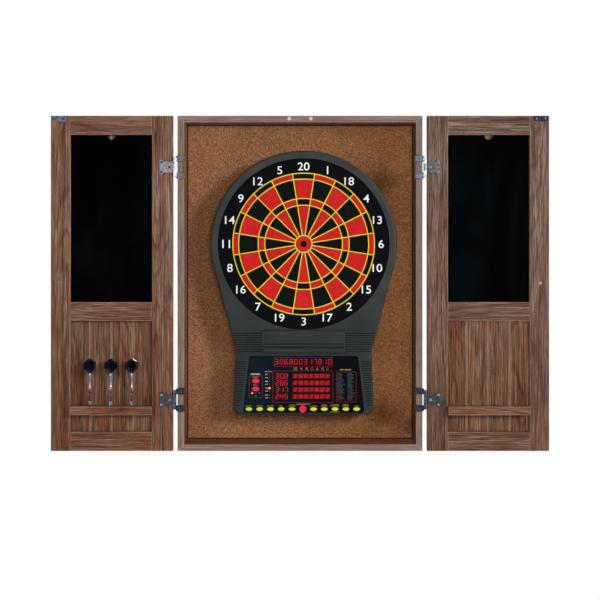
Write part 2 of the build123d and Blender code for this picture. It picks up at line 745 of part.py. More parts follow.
def button_spots():
    """Name, centre and half sizes of every console button."""
    middle = BUTTON_ROW_COUNT // 2
    spots = []
    for index in range(BUTTON_ROW_COUNT):
        x = BUTTON_ROW_X + (index - middle) * BUTTON_PITCH
        if index == middle:
            spots.append(("player_change_button", x, BUTTON_ROW_Z, CHANGE_BUTTON_HALF))
        else:
            number = index + 1 if index < middle else index
            spots.append((f"game_button_{number:02d}", x, BUTTON_ROW_Z, GAME_BUTTON_HALF))
    for name, z in zip(("setup_button_upper", "setup_button_lower"), SETUP_BUTTON_Z):
        spots.append((name, SETUP_BUTTON_X, z, SETUP_BUTTON_HALF))
    return spots


def button_face(x, z, half, grow=0.0):
    if half[0] == half[1]:
        return Pos(x, z) * Circle(half[0] + grow)
    return Pos(x, z) * Ellipse(half[0] + grow, half[1] + grow)


def cut_button_holes(shape, y_back, y_front):
    for _, x, z, half in button_spots():
        shape -= slab(button_face(x, z, half, BUTTON_CLEARANCE), y_back, y_front)
    return shape


def grooved_block():
    """Raised block under the target, with two deep grooves and a bevelled ledge under them."""
    x0 = GAME_X - BLOCK_HALF_W
    x1 = GAME_X + BLOCK_HALF_W
    raised = block(x0, x1, GAME_FRONT - BLOCK_PROUD, GAME_FRONT + 0.5, BLOCK_BOTTOM, BLOCK_TOP)
    raised = fillet(raised.edges().filter_by(Axis.Y), 3.0)
    raised = chamfer(raised.faces().sort_by(Axis.Y)[0].outer_wire().edges(), 1.0)
    for z in BLOCK_GROOVES:
        raised -= block(x0 + BLOCK_RIM, x1 - BLOCK_RIM, *GROOVE_DEPTHS, z - GROOVE_HALF, z + GROOVE_HALF)
    ledge = block(x0 + BLOCK_RIM, x1 - BLOCK_RIM, GAME_FRONT - LEDGE_PROUD, GAME_FRONT, *LEDGE_SPAN)
    ledge = chamfer(ledge.faces().sort_by(Axis.Y)[0].edges().filter_by(Axis.X), 2.4)
    return raised + ledge - disc(GAME_X, TARGET_Z, FACE_HOLE_R, *THROUGH)


def rib_grooves():
    """Grooves from the raised block out to the flanks, and down both borders of the console."""
    beside_block = [(BLOCK_HALF_W + 3, BLOCK_TOP - 6 - index * RIB_PITCH) for index in range(9)]
    beside_console = [CONSOLE_TOP - 16 - index * RIB_PITCH for index in range(20)]
    grooves = beside_block + [(console_half_width(z) + 6, z) for z in beside_console]
    cutters = []
    for inner, z in grooves:
        outer = casing_half_width(z) + 2
        for side in (-1, 1):
            x0 = GAME_X + side * inner
            x1 = GAME_X + side * outer
            span = (z - RIB_W / 2, z + RIB_W / 2)
            cutters.append(block(x0, x1, GAME_FRONT - 1, GAME_FRONT + RIB_DEPTH, *span))
    return cutters


def front_housing():
    """Front half of the casing: a shell with the target's round hole and the console's seat."""
    shell = slab(casing_outline(), GAME_SPLIT, GAME_FRONT)
    shell = fillet(shell.faces().sort_by(Axis.Y)[0].outer_wire().edges(), CASING_EDGE_R)
    shell -= slab(casing_outline(SHELL_WALL), GAME_SPLIT + 1, GAME_FRONT + SHELL_FACE)
    shell += grooved_block()
    shell -= disc(GAME_X, TARGET_Z, FACE_HOLE_R, *THROUGH)
    for cutter in rib_grooves():
        shell -= cutter
    shell -= slab(console_outline(0.3), CONSOLE_SEAT, -100)
    for window in display_windows():
        shell -= block(*window[:2], -100, GAME_SPLIT, *window[2:])
    shell = cut_button_holes(shell, -60, -100)
    for x, z in housing_screw_spots():
        shell += disc(x, z, BOSS_R, GAME_SPLIT, GAME_FRONT + SHELL_FACE)
    return drill(shell, HOUSING_SCREW, housing_screw_places())


def housing_screw_places():
    return [facing((x, CORK_FACE - 0.5, z), (0, 1, 0)) for x, z in housing_screw_spots()]


def rear_housing():
    """Rear half of the casing: a tray with bosses, a ring that backs the target and two keyholes."""
    tray = slab(casing_outline(), CORK_FACE, GAME_SPLIT)
    tray -= slab(casing_outline(SHELL_WALL), CORK_FACE - SHELL_WALL, GAME_SPLIT - 1)
    ring = Circle(BACKING_RING_R) - Circle(BACKING_RING_R - BACKING_RING_T)
    tray += slab(Pos(GAME_X, TARGET_Z) * ring, CORK_FACE - SHELL_WALL, BACKER_BACK)
    for x, z in housing_screw_spots():
        tray += disc(x, z, BOSS_R, CORK_FACE, GAME_SPLIT)
    for x, z in hanger_spots():
        tray -= disc(x, z - KEYHOLE_DROP, KEYHOLE_HEAD_R, 0, KEYHOLE_REACH)
        tray -= block(x - KEYHOLE_SLOT_R, x + KEYHOLE_SLOT_R, 0, KEYHOLE_REACH, z - KEYHOLE_DROP, z)
        tray -= disc(x, z, KEYHOLE_SLOT_R, 0, KEYHOLE_REACH)
    tray -= jack_hole()
    return drill(tray, HOUSING_SCREW, housing_screw_places())


def jack_hole():
    return post(JACK_X, JACK_Y, JACK_HOLE_R + 0.02, CASING_BOTTOM - 2, CASING_BOTTOM + 8)


def power_jack():
    """Panel socket for the mains adapter, facing down from the casing's foot, with its nut."""
    body = block(JACK_X - 6, JACK_X + 6, JACK_Y - 6, JACK_Y + 6, CASING_BOTTOM + 5.5, CASING_BOTTOM + 16)
    barrel = post(JACK_X, JACK_Y, JACK_HOLE_R, CASING_BOTTOM - 1.2, CASING_BOTTOM + 5.5)
    flange = post(JACK_X, JACK_Y, 7.0, CASING_BOTTOM - 1.4, CASING_BOTTOM)
    nut = post(JACK_X, JACK_Y, 7.5, CASING_BOTTOM + SHELL_WALL, CASING_BOTTOM + 5.5)
    socket = post(JACK_X, JACK_Y, 2.9, CASING_BOTTOM - 2, CASING_BOTTOM + 9)
    pin = post(JACK_X, JACK_Y, 1.0, CASING_BOTTOM, CASING_BOTTOM + 10)
    return body + barrel + flange + nut - socket + pin


def hanger_screw(x, z):
    """Round-headed screw left proud of the cork for the keyhole to hang on."""
    head_back = CORK_FACE - SHELL_WALL - 0.3
    shank = disc(x, z, HANGER_SHANK_R, -0.6, head_back)
    head = disc(x, z, HANGER_HEAD_R, head_back, head_back - 2.5)
    return shank + chamfer(head.faces().sort_by(Axis.Y)[0].edges(), 0.8)


# ---------------------------------------------------------------- electronic board: target

def bed_face(inner_r, outer_r, gap):
    """One scoring bed: a piece of ring whose flanks stay half a gap from the sector's border."""
    apex = gap / 2 / math.sin(HALF_SECTOR)
    reach = outer_r * 1.2
    flank = reach * math.tan(HALF_SECTOR)
    wedge = Polygon((0, apex), (flank, apex + reach), (-flank, apex + reach), align=None)
    return (Circle(outer_r) - Circle(inner_r)) & wedge


def bed_rings():
    """Inner and outer radius of the four scoring rings between the webs."""
    half = WEB_W / 2
    inner_single = (BULL_RING_R + BULL_RING_W / 2, TREBLE_IN_R - half)
    treble = (TREBLE_IN_R + half, TREBLE_OUT_R - half)
    outer_single = (TREBLE_OUT_R + half, DOUBLE_IN_R - half)
    double = (DOUBLE_IN_R + half, DOUBLE_OUT_R - half)
    return [inner_single, treble, outer_single, double]


def at_sector(sector, shape):
    """Turns a shape drawn at the top of the target to one of its twenty sectors, clockwise."""
    return Pos(GAME_X, 0, TARGET_Z) * Rot(0, sector * 360.0 / SECTORS, 0) * shape


def spider():
    """Web plate with a cell for each bed, on a flange that the number ring lies on."""
    plate = slab(Circle(DOUBLE_OUT_R + WEB_W / 2), WEB_BACK, GAME_FRONT)
    cells = [slab(bed_face(low, high, WEB_W), 0, -100) for low, high in bed_rings()]
    cutters = [Rot(0, sector * 360.0 / SECTORS, 0) * cell for sector in range(SECTORS) for cell in cells]
    plate -= cutters
    plate -= slab(Circle(BULL_RING_R - BULL_RING_W / 2), 0, -100)
    flange = slab(Circle(FLANGE_R) - Circle(DOUBLE_OUT_R), FLANGE_BACK, RING_BACK)
    skirt = slab(Circle(SENSOR_R) - Circle(SENSOR_R - SKIRT_T), SENSOR_FRONT, FLANGE_BACK)
    return Pos(GAME_X, 0, TARGET_Z) * (plate + flange + skirt)


def beds(parity):
    """The beds of one colour: 0 is red, as the singles of the top sector, and 1 is black.

    Singles and scoring rings swap colours within a sector and from one sector to the next.
    """
    shapes = []
    for ring, (low, high) in enumerate(bed_rings()):
        face = bed_face(low + BED_CLEARANCE, high - BED_CLEARANCE, WEB_W + 2 * BED_CLEARANCE)
        bed = slab(face, BED_BACK, BED_FRONT)
        bed = soften(bed, Axis.Y, 0, BED_CHAMFER)
        shapes += [at_sector(s, bed) for s in range(SECTORS) if (s + ring) % 2 == parity]
    return shapes


def inner_bull():
    bull = disc(GAME_X, TARGET_Z, INNER_BULL_R, BED_BACK, BED_FRONT)
    return soften(bull, Axis.Y, 0, BED_CHAMFER)


def outer_bull():
    bull = disc(GAME_X, TARGET_Z, OUTER_BULL_R, BED_BACK, BED_FRONT)
    bull = soften(bull, Axis.Y, 0, BED_CHAMFER)
    return bull - disc(GAME_X, TARGET_Z, INNER_BULL_R + BED_CLEARANCE, 0, -100)


def number_ring():
    """Flat ring that carries the twenty numbers, held behind the edge of the casing's hole."""
    face = slab(Circle(RING_OUT_R) - Circle(RING_IN_R), RING_BACK, RING_FRONT)
    lip = slab(Circle(FLANGE_R) - Circle(RING_IN_R), RING_BACK, GAME_FRONT + SHELL_FACE)
    return Pos(GAME_X, 0, TARGET_Z) * (face + lip)


def sensor_sheet():
    """Printed contact sheet and rubber mat behind the beds, with the board that backs them."""
    sheet = disc(GAME_X, TARGET_Z, SENSOR_R, SENSOR_BACK, SENSOR_FRONT)
    backer = disc(GAME_X, TARGET_Z, SENSOR_R, BACKER_BACK, SENSOR_BACK)
    return [sheet, backer]


# ---------------------------------------------------------------- electronic board: console

def display_windows():
    """Openings behind the dark console panel: the text row and the score field."""
    return [TEXT_WINDOW, SCORE_WINDOW]


def console_panel():
    """Smoked panel that covers the displays, with a hole for each button."""
    panel = slab(console_outline(), CONSOLE_SEAT, CONSOLE_FRONT)
    return cut_button_holes(panel, -60, -100)


def console_button(x, z, half):
    """Domed cap with a flange behind the panel that keeps it in."""
    cap = slab(button_face(x, z, half), BUTTON_BACK, BUTTON_FRONT)
    cap = fillet(cap.faces().sort_by(Axis.Y)[0].edges(), 1.2)
    return cap + slab(button_face(x, z, half, BUTTON_FLANGE), BUTTON_BACK, BUTTON_FLANGE_FRONT)


def display_electronics():
    """Circuit board with its display modules and a switch behind each button."""
    board = block(GAME_X - 160, GAME_X + 160, BOARD_BACK, BOARD_FRONT, -356, -206)
    pieces = [board]
    for x0, x1, z0, z1 in display_windows():
        pieces.append(block(x0 + 1, x1 - 1, BOARD_FRONT, CONSOLE_SEAT + 0.4, z0 + 1, z1 - 1))
    for _, x, z, _ in button_spots():
        pieces.append(disc(x, z, 3.0, BOARD_FRONT, SWITCH_FRONT))
    return pieces


def speaker():
    """Small loudspeaker behind the grooved block, glued by its rim to the inside of the shell."""
    basket = disc(GAME_X, SPEAKER_Z, SPEAKER_R, SPEAKER_REAR, GAME_FRONT + SHELL_FACE)
    basket = chamfer(basket.faces().sort_by(Axis.Y)[-1].edges(), 7.0)
    return basket + disc(GAME_X, SPEAKER_Z, SPEAKER_MAGNET_R, SPEAKER_REAR + 8, SPEAKER_REAR)


# ---------------------------------------------------------------- output

def write_root():
    right_side = carcass_right_side()
    write("carcass_top", carcass_top())
    write("carcass_bottom", carcass_bottom())
    write("carcass_right_side", right_side)
    write("carcass_left_side", other_side(right_side))
    write("back_panel", back_panel())
    write("cork_lining", cork_lining())
    write("catch_magnets", catch_magnet(-MAGNET_U), catch_magnet(MAGNET_U))
    write("hinge_frame_leaves", *frame_leaves())
    write("hinge_pins", *(pin for z in (-HINGE_Z, HINGE_Z) for pin in both_sides(hinge_pin(z))))
    panel_screws = screws(PANEL_SCREW, panel_screw_places())
    leaf_screws = screws(LEAF_SCREW, frame_leaf_screw_places())
    hangers = [hanger_screw(x, z) for x, z in hanger_spots()]
    write("cabinet_screws", *panel_screws, *leaf_screws, *hangers)


def write_game():
    write("rear_housing", rear_housing())
    write("front_housing", front_housing())
    write("machine_screws", *screws(HOUSING_SCREW, housing_screw_places()))
    write("power_jack", power_jack())
    write("spider", spider())
    write("number_ring", number_ring())
    write("sensor_sheet", *sensor_sheet())
    write("red_segments", *beds(0))
    write("black_segments", *beds(1))
    write("outer_bull", outer_bull())
    write("inner_bull", inner_bull())
    write("console_panel", console_panel())
    write("display_electronics", *display_electronics())
    write("speaker", speaker())
    for name, x, z, half in button_spots():
        write(name, console_button(x, z, half))


def write_doors():
    pieces = {
        "door_stiles": door_stiles(),
        "door_rails": door_rails(),
        "door_planks": door_planks(),
        "blackboard": [blackboard()],
        "dart_shelf": [dart_shelf()],
        "strike_plate": [strike_plate()],
        "hinge_leaves": [
            drill(door_leaf(z), LEAF_SCREW, door_leaf_screw_places()) for z in (-HINGE_Z, HINGE_Z)
        ],
        "door_screws": door_screws(),
        "pull_post": [pull_post()],
        "pull_tab": [pull_tab()],
    }
    for name, shapes in pieces.items():
        write(f"right_{name}", *shapes)
        write(f"left_{name}", *(other_side(shape) for shape in shapes))
    for number, u in enumerate(reversed(dart_places()), start=1):
        write(f"dart_{number}", *(other_side(shape) for shape in dart(u)))


os.makedirs("parts", exist_ok=True)
write_root()
write_game()
write_doors()
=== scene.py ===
"""Looks of the dart board cabinet: finishes for its parts, printed and lit details, light and camera.

Metres.  X runs to the right, Z up and -Y to the front.  The origin is the centre of the rear face.
Printed details, screws and darts are laid out in millimetres and scaled by MM.
"""
import math
import random

import bmesh
import bpy
from mathutils import Matrix, Vector


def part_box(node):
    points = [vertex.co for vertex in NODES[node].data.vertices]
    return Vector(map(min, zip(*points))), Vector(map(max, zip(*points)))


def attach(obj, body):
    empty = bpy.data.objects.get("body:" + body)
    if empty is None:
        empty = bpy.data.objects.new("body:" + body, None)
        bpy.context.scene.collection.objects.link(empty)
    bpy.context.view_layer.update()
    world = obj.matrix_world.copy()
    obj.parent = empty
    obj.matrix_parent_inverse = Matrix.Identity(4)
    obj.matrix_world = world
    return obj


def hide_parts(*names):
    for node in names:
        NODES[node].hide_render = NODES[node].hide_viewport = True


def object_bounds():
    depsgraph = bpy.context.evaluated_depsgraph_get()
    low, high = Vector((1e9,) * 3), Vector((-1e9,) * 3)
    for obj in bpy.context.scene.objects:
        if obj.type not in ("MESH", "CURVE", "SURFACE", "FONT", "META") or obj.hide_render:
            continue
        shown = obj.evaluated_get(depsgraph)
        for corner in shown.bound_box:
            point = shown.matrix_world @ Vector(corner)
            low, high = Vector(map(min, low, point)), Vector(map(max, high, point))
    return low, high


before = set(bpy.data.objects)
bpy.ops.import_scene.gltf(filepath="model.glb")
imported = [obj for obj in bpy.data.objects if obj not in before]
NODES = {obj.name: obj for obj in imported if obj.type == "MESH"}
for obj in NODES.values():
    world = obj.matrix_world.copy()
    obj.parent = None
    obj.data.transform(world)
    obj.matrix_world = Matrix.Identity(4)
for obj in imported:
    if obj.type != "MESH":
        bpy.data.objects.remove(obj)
cad_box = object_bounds()
MM = 0.001

# Grain runs along Z in standing boards and along X in lying ones
STANDING = (0, 0, 1)
LYING = (1, 0, 0)


def middle_mm(node):
    """The middle of a node's box, in millimetres."""
    low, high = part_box(node)
    return (low + high) / (2 * MM)


# ------------------------ colours

def srgb(red, green, blue):
    """A colour given as 0-255 display values, as the linear one that shaders take."""
    def linear(value):
        value /= 255
        return value / 12.92 if value <= 0.04045 else ((value + 0.055) / 1.055) ** 2.4
    return (linear(red), linear(green), linear(blue), 1.0)


def scaled(colour, factor, lift=0.0):
    return tuple(min(1.0, channel * factor + lift) for channel in colour[:3]) + (1.0,)


# ------------------------ shader toolkit

class Shader:
    """A Principled material whose sockets are given a value or another node's output."""

    def __init__(self, name, **surface):
        self.material = bpy.data.materials.new(name)
        self.material.use_nodes = True
        self.tree = self.material.node_tree
        self.tree.nodes.clear()
        self.surface = self.tree.nodes.new("ShaderNodeBsdfPrincipled")
        output = self.tree.nodes.new("ShaderNodeOutputMaterial")
        self.tree.links.new(self.surface.outputs[0], output.inputs["Surface"])
        self.position = self.tree.nodes.new("ShaderNodeTexCoord").outputs["Object"]
        self.set(**surface)

    def feed(self, socket, value):
        if isinstance(value, bpy.types.NodeSocket):
            self.tree.links.new(value, socket)
        else:
            socket.default_value = value

    def set(self, **surface):
        """Sets sockets of the surface, named with _ for a space, such as Base_Color."""
        for name, value in surface.items():
            self.feed(self.surface.inputs[name.replace("_", " ")], value)
        return self.material

    def node(self, kind, *values, out=0, **settings):
        """Any node, its first inputs fed in order.  Returns one of its outputs."""
        made = self.tree.nodes.new("ShaderNode" + kind)
        for name, value in settings.items():
            setattr(made, name, value)
        for socket, value in zip(made.inputs, values):
            if value is not None:
                self.feed(socket, value)
        return made.outputs[out]

    def named(self, kind, out=0, settings=None, **inputs):
        """Any node, its inputs fed by name."""
        made = self.tree.nodes.new("ShaderNode" + kind)
        for name, value in (settings or {}).items():
            setattr(made, name, value)
        for name, value in inputs.items():
            self.feed(made.inputs[name], value)
        return made.outputs[out]

    def math(self, operation, first, second=None):
        return self.node("Math", first, second, operation=operation)

    def plus(self, total, *others):
        for value in others:
            total = self.math("ADD", total, value)
        return total

    def minus(self, first, second):
        return self.math("SUBTRACT", first, second)

    def times(self, first, second):
        return self.math("MULTIPLY", first, second)

    def sway(self, pattern, size):
        """The pattern's swing about its middle value of a half."""
        return self.times(self.minus(pattern, 0.5), size)

    def along(self, axis):
        """The place along X, Y or Z."""
        return self.node("SeparateXYZ", self.position, out="XYZ".index(axis))

    def stretch(self, vector, factors):
        return self.node("VectorMath", vector, factors, operation="MULTIPLY")

    def shift(self, vector, by):
        return self.node("VectorMath", vector, by, operation="ADD")

    def noise(self, vector, scale=1.0, detail=2.0, roughness=0.5, distortion=0.0):
        return self.named("TexNoise", Vector=vector, Scale=scale, Detail=detail, Roughness=roughness,
                          Distortion=distortion)

    def cells(self, vector, scale, out="Distance", feature="F1", randomness=1.0):
        return self.named("TexVoronoi", out, {"feature": feature}, Vector=vector, Scale=scale,
                          Randomness=randomness)

    def span(self, value, low, high, to_low=0.0, to_high=1.0):
        """The value's place between low and high, clamped, on a smooth step."""
        return self.node("MapRange", value, low, high, to_low, to_high,
                         interpolation_type="SMOOTHSTEP")

    def ramp(self, value, stops):
        made = self.tree.nodes.new("ShaderNodeValToRGB")
        set_stops(made, stops)
        self.feed(made.inputs[0], value)
        return made.outputs[0]

    def mix(self, share, first, second, blend="MIX"):
        """The first colour turned into the second as far as share says."""
        made = self.tree.nodes.new("ShaderNodeMix")
        made.data_type = "RGBA"
        made.blend_type = blend
        for index, value in ((0, share), (6, first), (7, second)):
            self.feed(made.inputs[index], value)
        return made.outputs[2]

    def tint(self, share, base, colour):
        """Multiplies the base by a colour, as far as share says."""
        return self.mix(share, base, colour, "MULTIPLY")

    def bump(self, height, distance, strength=1.0):
        return self.named("Bump", Strength=strength, Distance=distance, Height=height)

    # Marks worn edges on wood, and where highlights and dark edge reflections are painted on casing and
    # metal
    def worn_edge(self, radius):
        """High near the edges of the part, found by comparing a rounded normal with the true one."""
        rounded = self.named("Bevel", settings={"samples": 4}, Radius=radius)
        flat = self.node("NewGeometry", out="True Normal")
        across = self.node("VectorMath", rounded, flat, operation="DOT_PRODUCT", out=1)
        return self.span(across, 0.985, 0.86)

    def crevice(self, reach, low=0.9, high=0.45):
        """High in grooves and corners, where nearby faces shut the surface in: where shade is painted."""
        open_share = self.named("AmbientOcclusion", "AO", {"samples": 4}, Distance=reach)
        return self.span(open_share, low, high)

    def board_offset(self, seed, cell):
        """A shift of the pattern that differs from board to board; cell is (axis, start, pitch)."""
        number = float(seed)
        if cell:
            axis, start, pitch = cell
            place = self.along(axis)
            place = self.math("ABSOLUTE", place) if axis == "X" else place
            index = self.math("FLOOR", self.math("DIVIDE", self.minus(place, start), pitch))
            number = self.plus(index, number)
        parts = [self.times(number, step) for step in (3.17, 1.73, 5.39)]
        return self.shift(self.position, self.node("CombineXYZ", *parts))


def set_stops(ramp_node, stops):
    """Gives a colour ramp its stops, as (place, colour) pairs."""
    elements = ramp_node.color_ramp.elements
    while len(elements) < len(stops):
        elements.new(0.5)
    for element, (place, colour) in zip(elements, stops):
        element.position = place
        element.color = colour


# ------------------------ wood

# Cells are (axis, start, pitch): the boards or planks whose grain differs, counted from the middle
STILE_CELL = ("X", 0.3466, 0.2)
RAIL_CELL = ("Z", -1.0, 0.35)
PLANK_CELL = ("X", 0.3966, 0.059)

DARK_PORE = srgb(44, 26, 17)
SEAM_DARK = srgb(36, 20, 13)
SEAM_PALE = srgb(172, 144, 122)
KNOT_RED = srgb(226, 112, 62)
KNOT_HEART = srgb(34, 18, 11)
CORNER_SHADE = srgb(34, 19, 13)
LIME = srgb(178, 166, 154)
RUST = srgb(255, 170, 108)
BARE_EDGE = srgb(198, 164, 140)


def plank_seams(s, base, cell, hairs):
    """Dark joints between the planks with pale bevels, which show more on the door's outer face."""
    _, start, pitch = cell
    turn = s.math("FRACT", s.math("DIVIDE", s.minus(s.math("ABSOLUTE", s.along("X")), start), pitch))
    off = s.times(s.math("MINIMUM", turn, s.minus(1.0, turn)), pitch)
    off = s.plus(off, s.sway(hairs, 0.0012))
    low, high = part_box("left_door_planks")
    middle = (low.y + high.y) / 2
    inside = s.span(s.along("Y"), middle, middle - MM, 0.35, 1.0)
    pale = s.times(s.span(off, 2.9 * MM, 1.6 * MM, 0.0, 0.5), inside)
    base = s.mix(pale, base, SEAM_PALE)
    return s.mix(s.span(off, 1.5 * MM, 0.7 * MM, 0.0, 0.9), base, SEAM_DARK)


def weathered_face(s, base):
    """Greys the front edges of the carcass, and only them."""
    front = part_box("carcass_top")[0].y
    in_front = s.span(s.along("Y"), front + 2.2 * MM, front + 0.8 * MM)
    grey = s.mix(0.5, s.tint(1.0, base, (1.25, 1.5, 1.7, 1.0)), srgb(132, 116, 106))
    return s.mix(in_front, base, grey)


def wood(name, along, seed, cell=None, rust=0.5, limed=0.5, shade=(1.0, 1.0, 1.0), face_shade=False,
         seams=False):
    """Wire-brushed softwood: brown stain, rusty streaks and knots, a grey glaze left in the grain.

    rust and limed are how strong the streaks and the glaze are, and shade tints the whole board.
    """
    s = Shader(name)
    place = s.board_offset(seed, cell)

    def grain(across, down, shift=0.0):
        """Position squeezed so that a pattern runs long along the board."""
        squeezed = s.stretch(place, [down if axis else across for axis in along])
        return s.shift(squeezed, (shift, shift * 1.7, shift * 0.6))

    wander = s.stretch(s.node("TexNoise", grain(9, 4), out=1), (0.25, 0.25, 0.25))
    knot = s.cells(s.shift(grain(5.2, 2.1), wander), 1.0)
    bend = s.span(knot, 0.24, 0.0, 0.0, 0.15)
    field = s.plus(s.noise(grain(10, 0.8), detail=1.5, distortion=0.15), bend)
    late_wood = s.span(s.math("SINE", s.times(field, 150.0)), 0.55, 1.0)
    bands = s.noise(grain(34, 2.2, 3.0), detail=3, roughness=0.55)
    streaks = s.noise(grain(330, 5.5, 1.0), detail=3, roughness=0.6)
    hairs = s.noise(grain(620, 15, 4.0), detail=3, roughness=0.65)
    fibres = s.noise(grain(1100, 42, 2.0), detail=2, roughness=0.7)
    stains = s.noise(grain(26, 6.0, 7.0), detail=4, roughness=0.62)
    glaze = s.noise(grain(40, 4.0, 9.0), detail=4, roughness=0.62)

    tone = s.plus(s.times(streaks, 0.40), s.times(hairs, 0.34), s.times(fibres, 0.26))
    tone = s.plus(tone, s.sway(bands, 0.17))
    tone = s.minus(tone, s.times(s.minus(late_wood, 0.25), 0.06))
    base = s.ramp(tone, [
        (0.35, srgb(50, 30, 21)), (0.43, srgb(88, 58, 44)), (0.50, srgb(116, 83, 66)),
        (0.57, srgb(138, 105, 86)), (0.64, srgb(180, 153, 136)),
    ])
    rusty = s.times(s.span(stains, 0.47, 0.66), s.span(hairs, 0.34, 0.58, 0.5, 1.0))
    base = s.tint(s.times(rusty, rust), base, RUST)
    pale_pores = s.times(s.span(hairs, 0.51, 0.64), s.span(glaze, 0.42, 0.60))
    base = s.mix(s.times(pale_pores, limed), base, LIME)
    base = s.mix(s.span(hairs, 0.43, 0.32, 0.0, 0.6), base, DARK_PORE)
    base = s.tint(s.span(knot, 0.15, 0.03, 0.0, 0.6), base, KNOT_RED)
    base = s.mix(s.span(knot, 0.045, 0.02, 0.0, 0.85), base, KNOT_HEART)
    base = s.tint(1.0, base, tuple(shade) + (1.0,))
    low_down = s.span(s.along("Z"), 0.25, -0.42)
    base = s.tint(low_down, base, (0.82, 0.70, 0.58, 1.0))
    if face_shade:
        base = weathered_face(s, base)
    # Painted shade: corners and grooves darkened towards near black
    base = s.mix(s.times(s.crevice(0.006), 0.7), base, CORNER_SHADE)
    if seams:
        base = plank_seams(s, base, cell, hairs)
    edge_wear_and_sheen = s.times(s.worn_edge(0.0034), s.span(hairs, 0.36, 0.54, 0.4, 1.0))
    base = s.mix(s.times(edge_wear_and_sheen, 0.75), base, BARE_EDGE)
    height = s.plus(s.times(fibres, 0.5), s.times(hairs, 0.9))
    height = s.minus(height, s.times(late_wood, 0.2))
    return s.set(
        Base_Color=base,
        Roughness=s.span(tone, 0.3, 0.7, 0.5, 0.75),
        Specular_IOR_Level=0.22,
        Normal=s.bump(height, 0.0007, 0.75),
    )


# ------------------------ other materials

# Edge colours for metal: a painted highlight and a painted dark reflection
EDGE_HIGHLIGHT = srgb(226, 226, 232)
DARK_EDGE_REFLECTION = srgb(26, 26, 32)


def cork():
    """Pressed cork: pale and dark granules with pits between them, browner and in painted shade to the
    right.
    """
    s = Shader("cork")
    coarse = s.node("SeparateColor", s.cells(s.position, 400, out="Color"))
    fine = s.node("SeparateColor", s.cells(s.position, 900, out="Color"))
    fleck = s.noise(s.position, 760, detail=5, roughness=0.78)
    cloud = s.noise(s.position, 7, detail=3)
    tone = s.plus(s.times(coarse, 0.20), s.times(fine, 0.22), s.times(fleck, 0.58))
    tone = s.plus(tone, s.sway(cloud, 0.16))
    base = s.ramp(tone, [
        (0.30, srgb(84, 50, 30)), (0.43, srgb(128, 84, 54)), (0.55, srgb(155, 106, 70)),
        (0.70, srgb(196, 147, 107)),
    ])
    low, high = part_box("cork_lining")
    # Painted shade: browner and darker towards the right side
    browner_and_shaded = s.span(s.along("X"), low.x * 0.2, high.x * 0.85)
    base = s.tint(browner_and_shaded, base, (0.70, 0.63, 0.52, 1.0))

    # Painted shade along the border, in a line that the granules make ragged
    inward = 1.0
    for axis, start, end in (("X", low.x, high.x), ("Z", low.z, high.z)):
        place = s.along(axis)
        room = s.math("MINIMUM", s.minus(place, start), s.minus(end, place))
        inward = s.math("MINIMUM", inward, room)
    ragged = s.plus(inward, s.sway(fleck, 0.004))
    base = s.mix(s.span(ragged, 0.0046, 0.001, 0.0, 0.9), base, srgb(26, 13, 8))
    crack = s.cells(s.position, 400, feature="DISTANCE_TO_EDGE")
    height = s.plus(s.math("MINIMUM", crack, 0.10), s.times(fleck, 0.7))
    return s.set(
        Base_Color=base,
        Roughness=0.92,
        Specular_IOR_Level=0.12,
        Normal=s.bump(height, 0.0008, 0.6),
    )


def plastic(name, colour, roughness=0.42, shine=0.2, scuff=0.0):
    """Moulded plastic: fine eroded texture, uneven gloss, faint scuffs where it is handled."""
    s = Shader(name)
    cloud = s.noise(s.position, 22, detail=3)
    share = s.span(cloud, 0.3, 0.7)
    skin = s.noise(s.position, 1400, detail=2, roughness=0.6)
    base = s.mix(share, scaled(colour, 0.88), colour)
    if scuff:
        rubbed = s.noise(s.stretch(s.position, (90, 90, 260)), detail=3, roughness=0.7)
        base = s.mix(s.span(rubbed, 0.60, 0.74, 0.0, scuff), base, scaled(colour, 1.6, 0.02))
    return s.set(
        Base_Color=base,
        Roughness=s.span(cloud, 0.3, 0.7, roughness - 0.05, roughness + 0.06),
        Normal=s.bump(skin, 0.00008, 0.8),
        Specular_IOR_Level=shine,
    )


def casing():
    """The board's grey-green casing, with a fine leather grain, painted shade low down and in its
    grooves, and painted edge highlights.
    """
    s = Shader("casing_plastic")
    cloud = s.noise(s.position, 12, detail=4)
    leather = s.cells(s.position, 1150, feature="DISTANCE_TO_EDGE")
    skin = s.noise(s.position, 2400, detail=2)
    base = s.mix(s.span(cloud, 0.3, 0.7), srgb(50, 54, 53), srgb(60, 64, 62))
    # Painted shade: darker towards the bottom
    base = s.tint(s.span(s.along("Z"), 0.12, -0.22), base, (0.60, 0.66, 0.72, 1.0))
    # Painted highlight along the edges
    base = s.mix(s.times(s.worn_edge(0.0016), 0.45), base, srgb(98, 104, 100))
    # Painted shade: grooves darkened to near black
    base = s.mix(s.crevice(0.008, 0.97, 0.66), base, srgb(4, 6, 7))
    height = s.plus(s.math("MINIMUM", leather, 0.1), s.times(skin, 0.12))
    return s.set(
        Base_Color=base,
        Roughness=s.span(cloud, 0.3, 0.7, 0.44, 0.56),
        Specular_IOR_Level=0.22,
        Normal=s.bump(height, 0.00012, 0.8),
    )


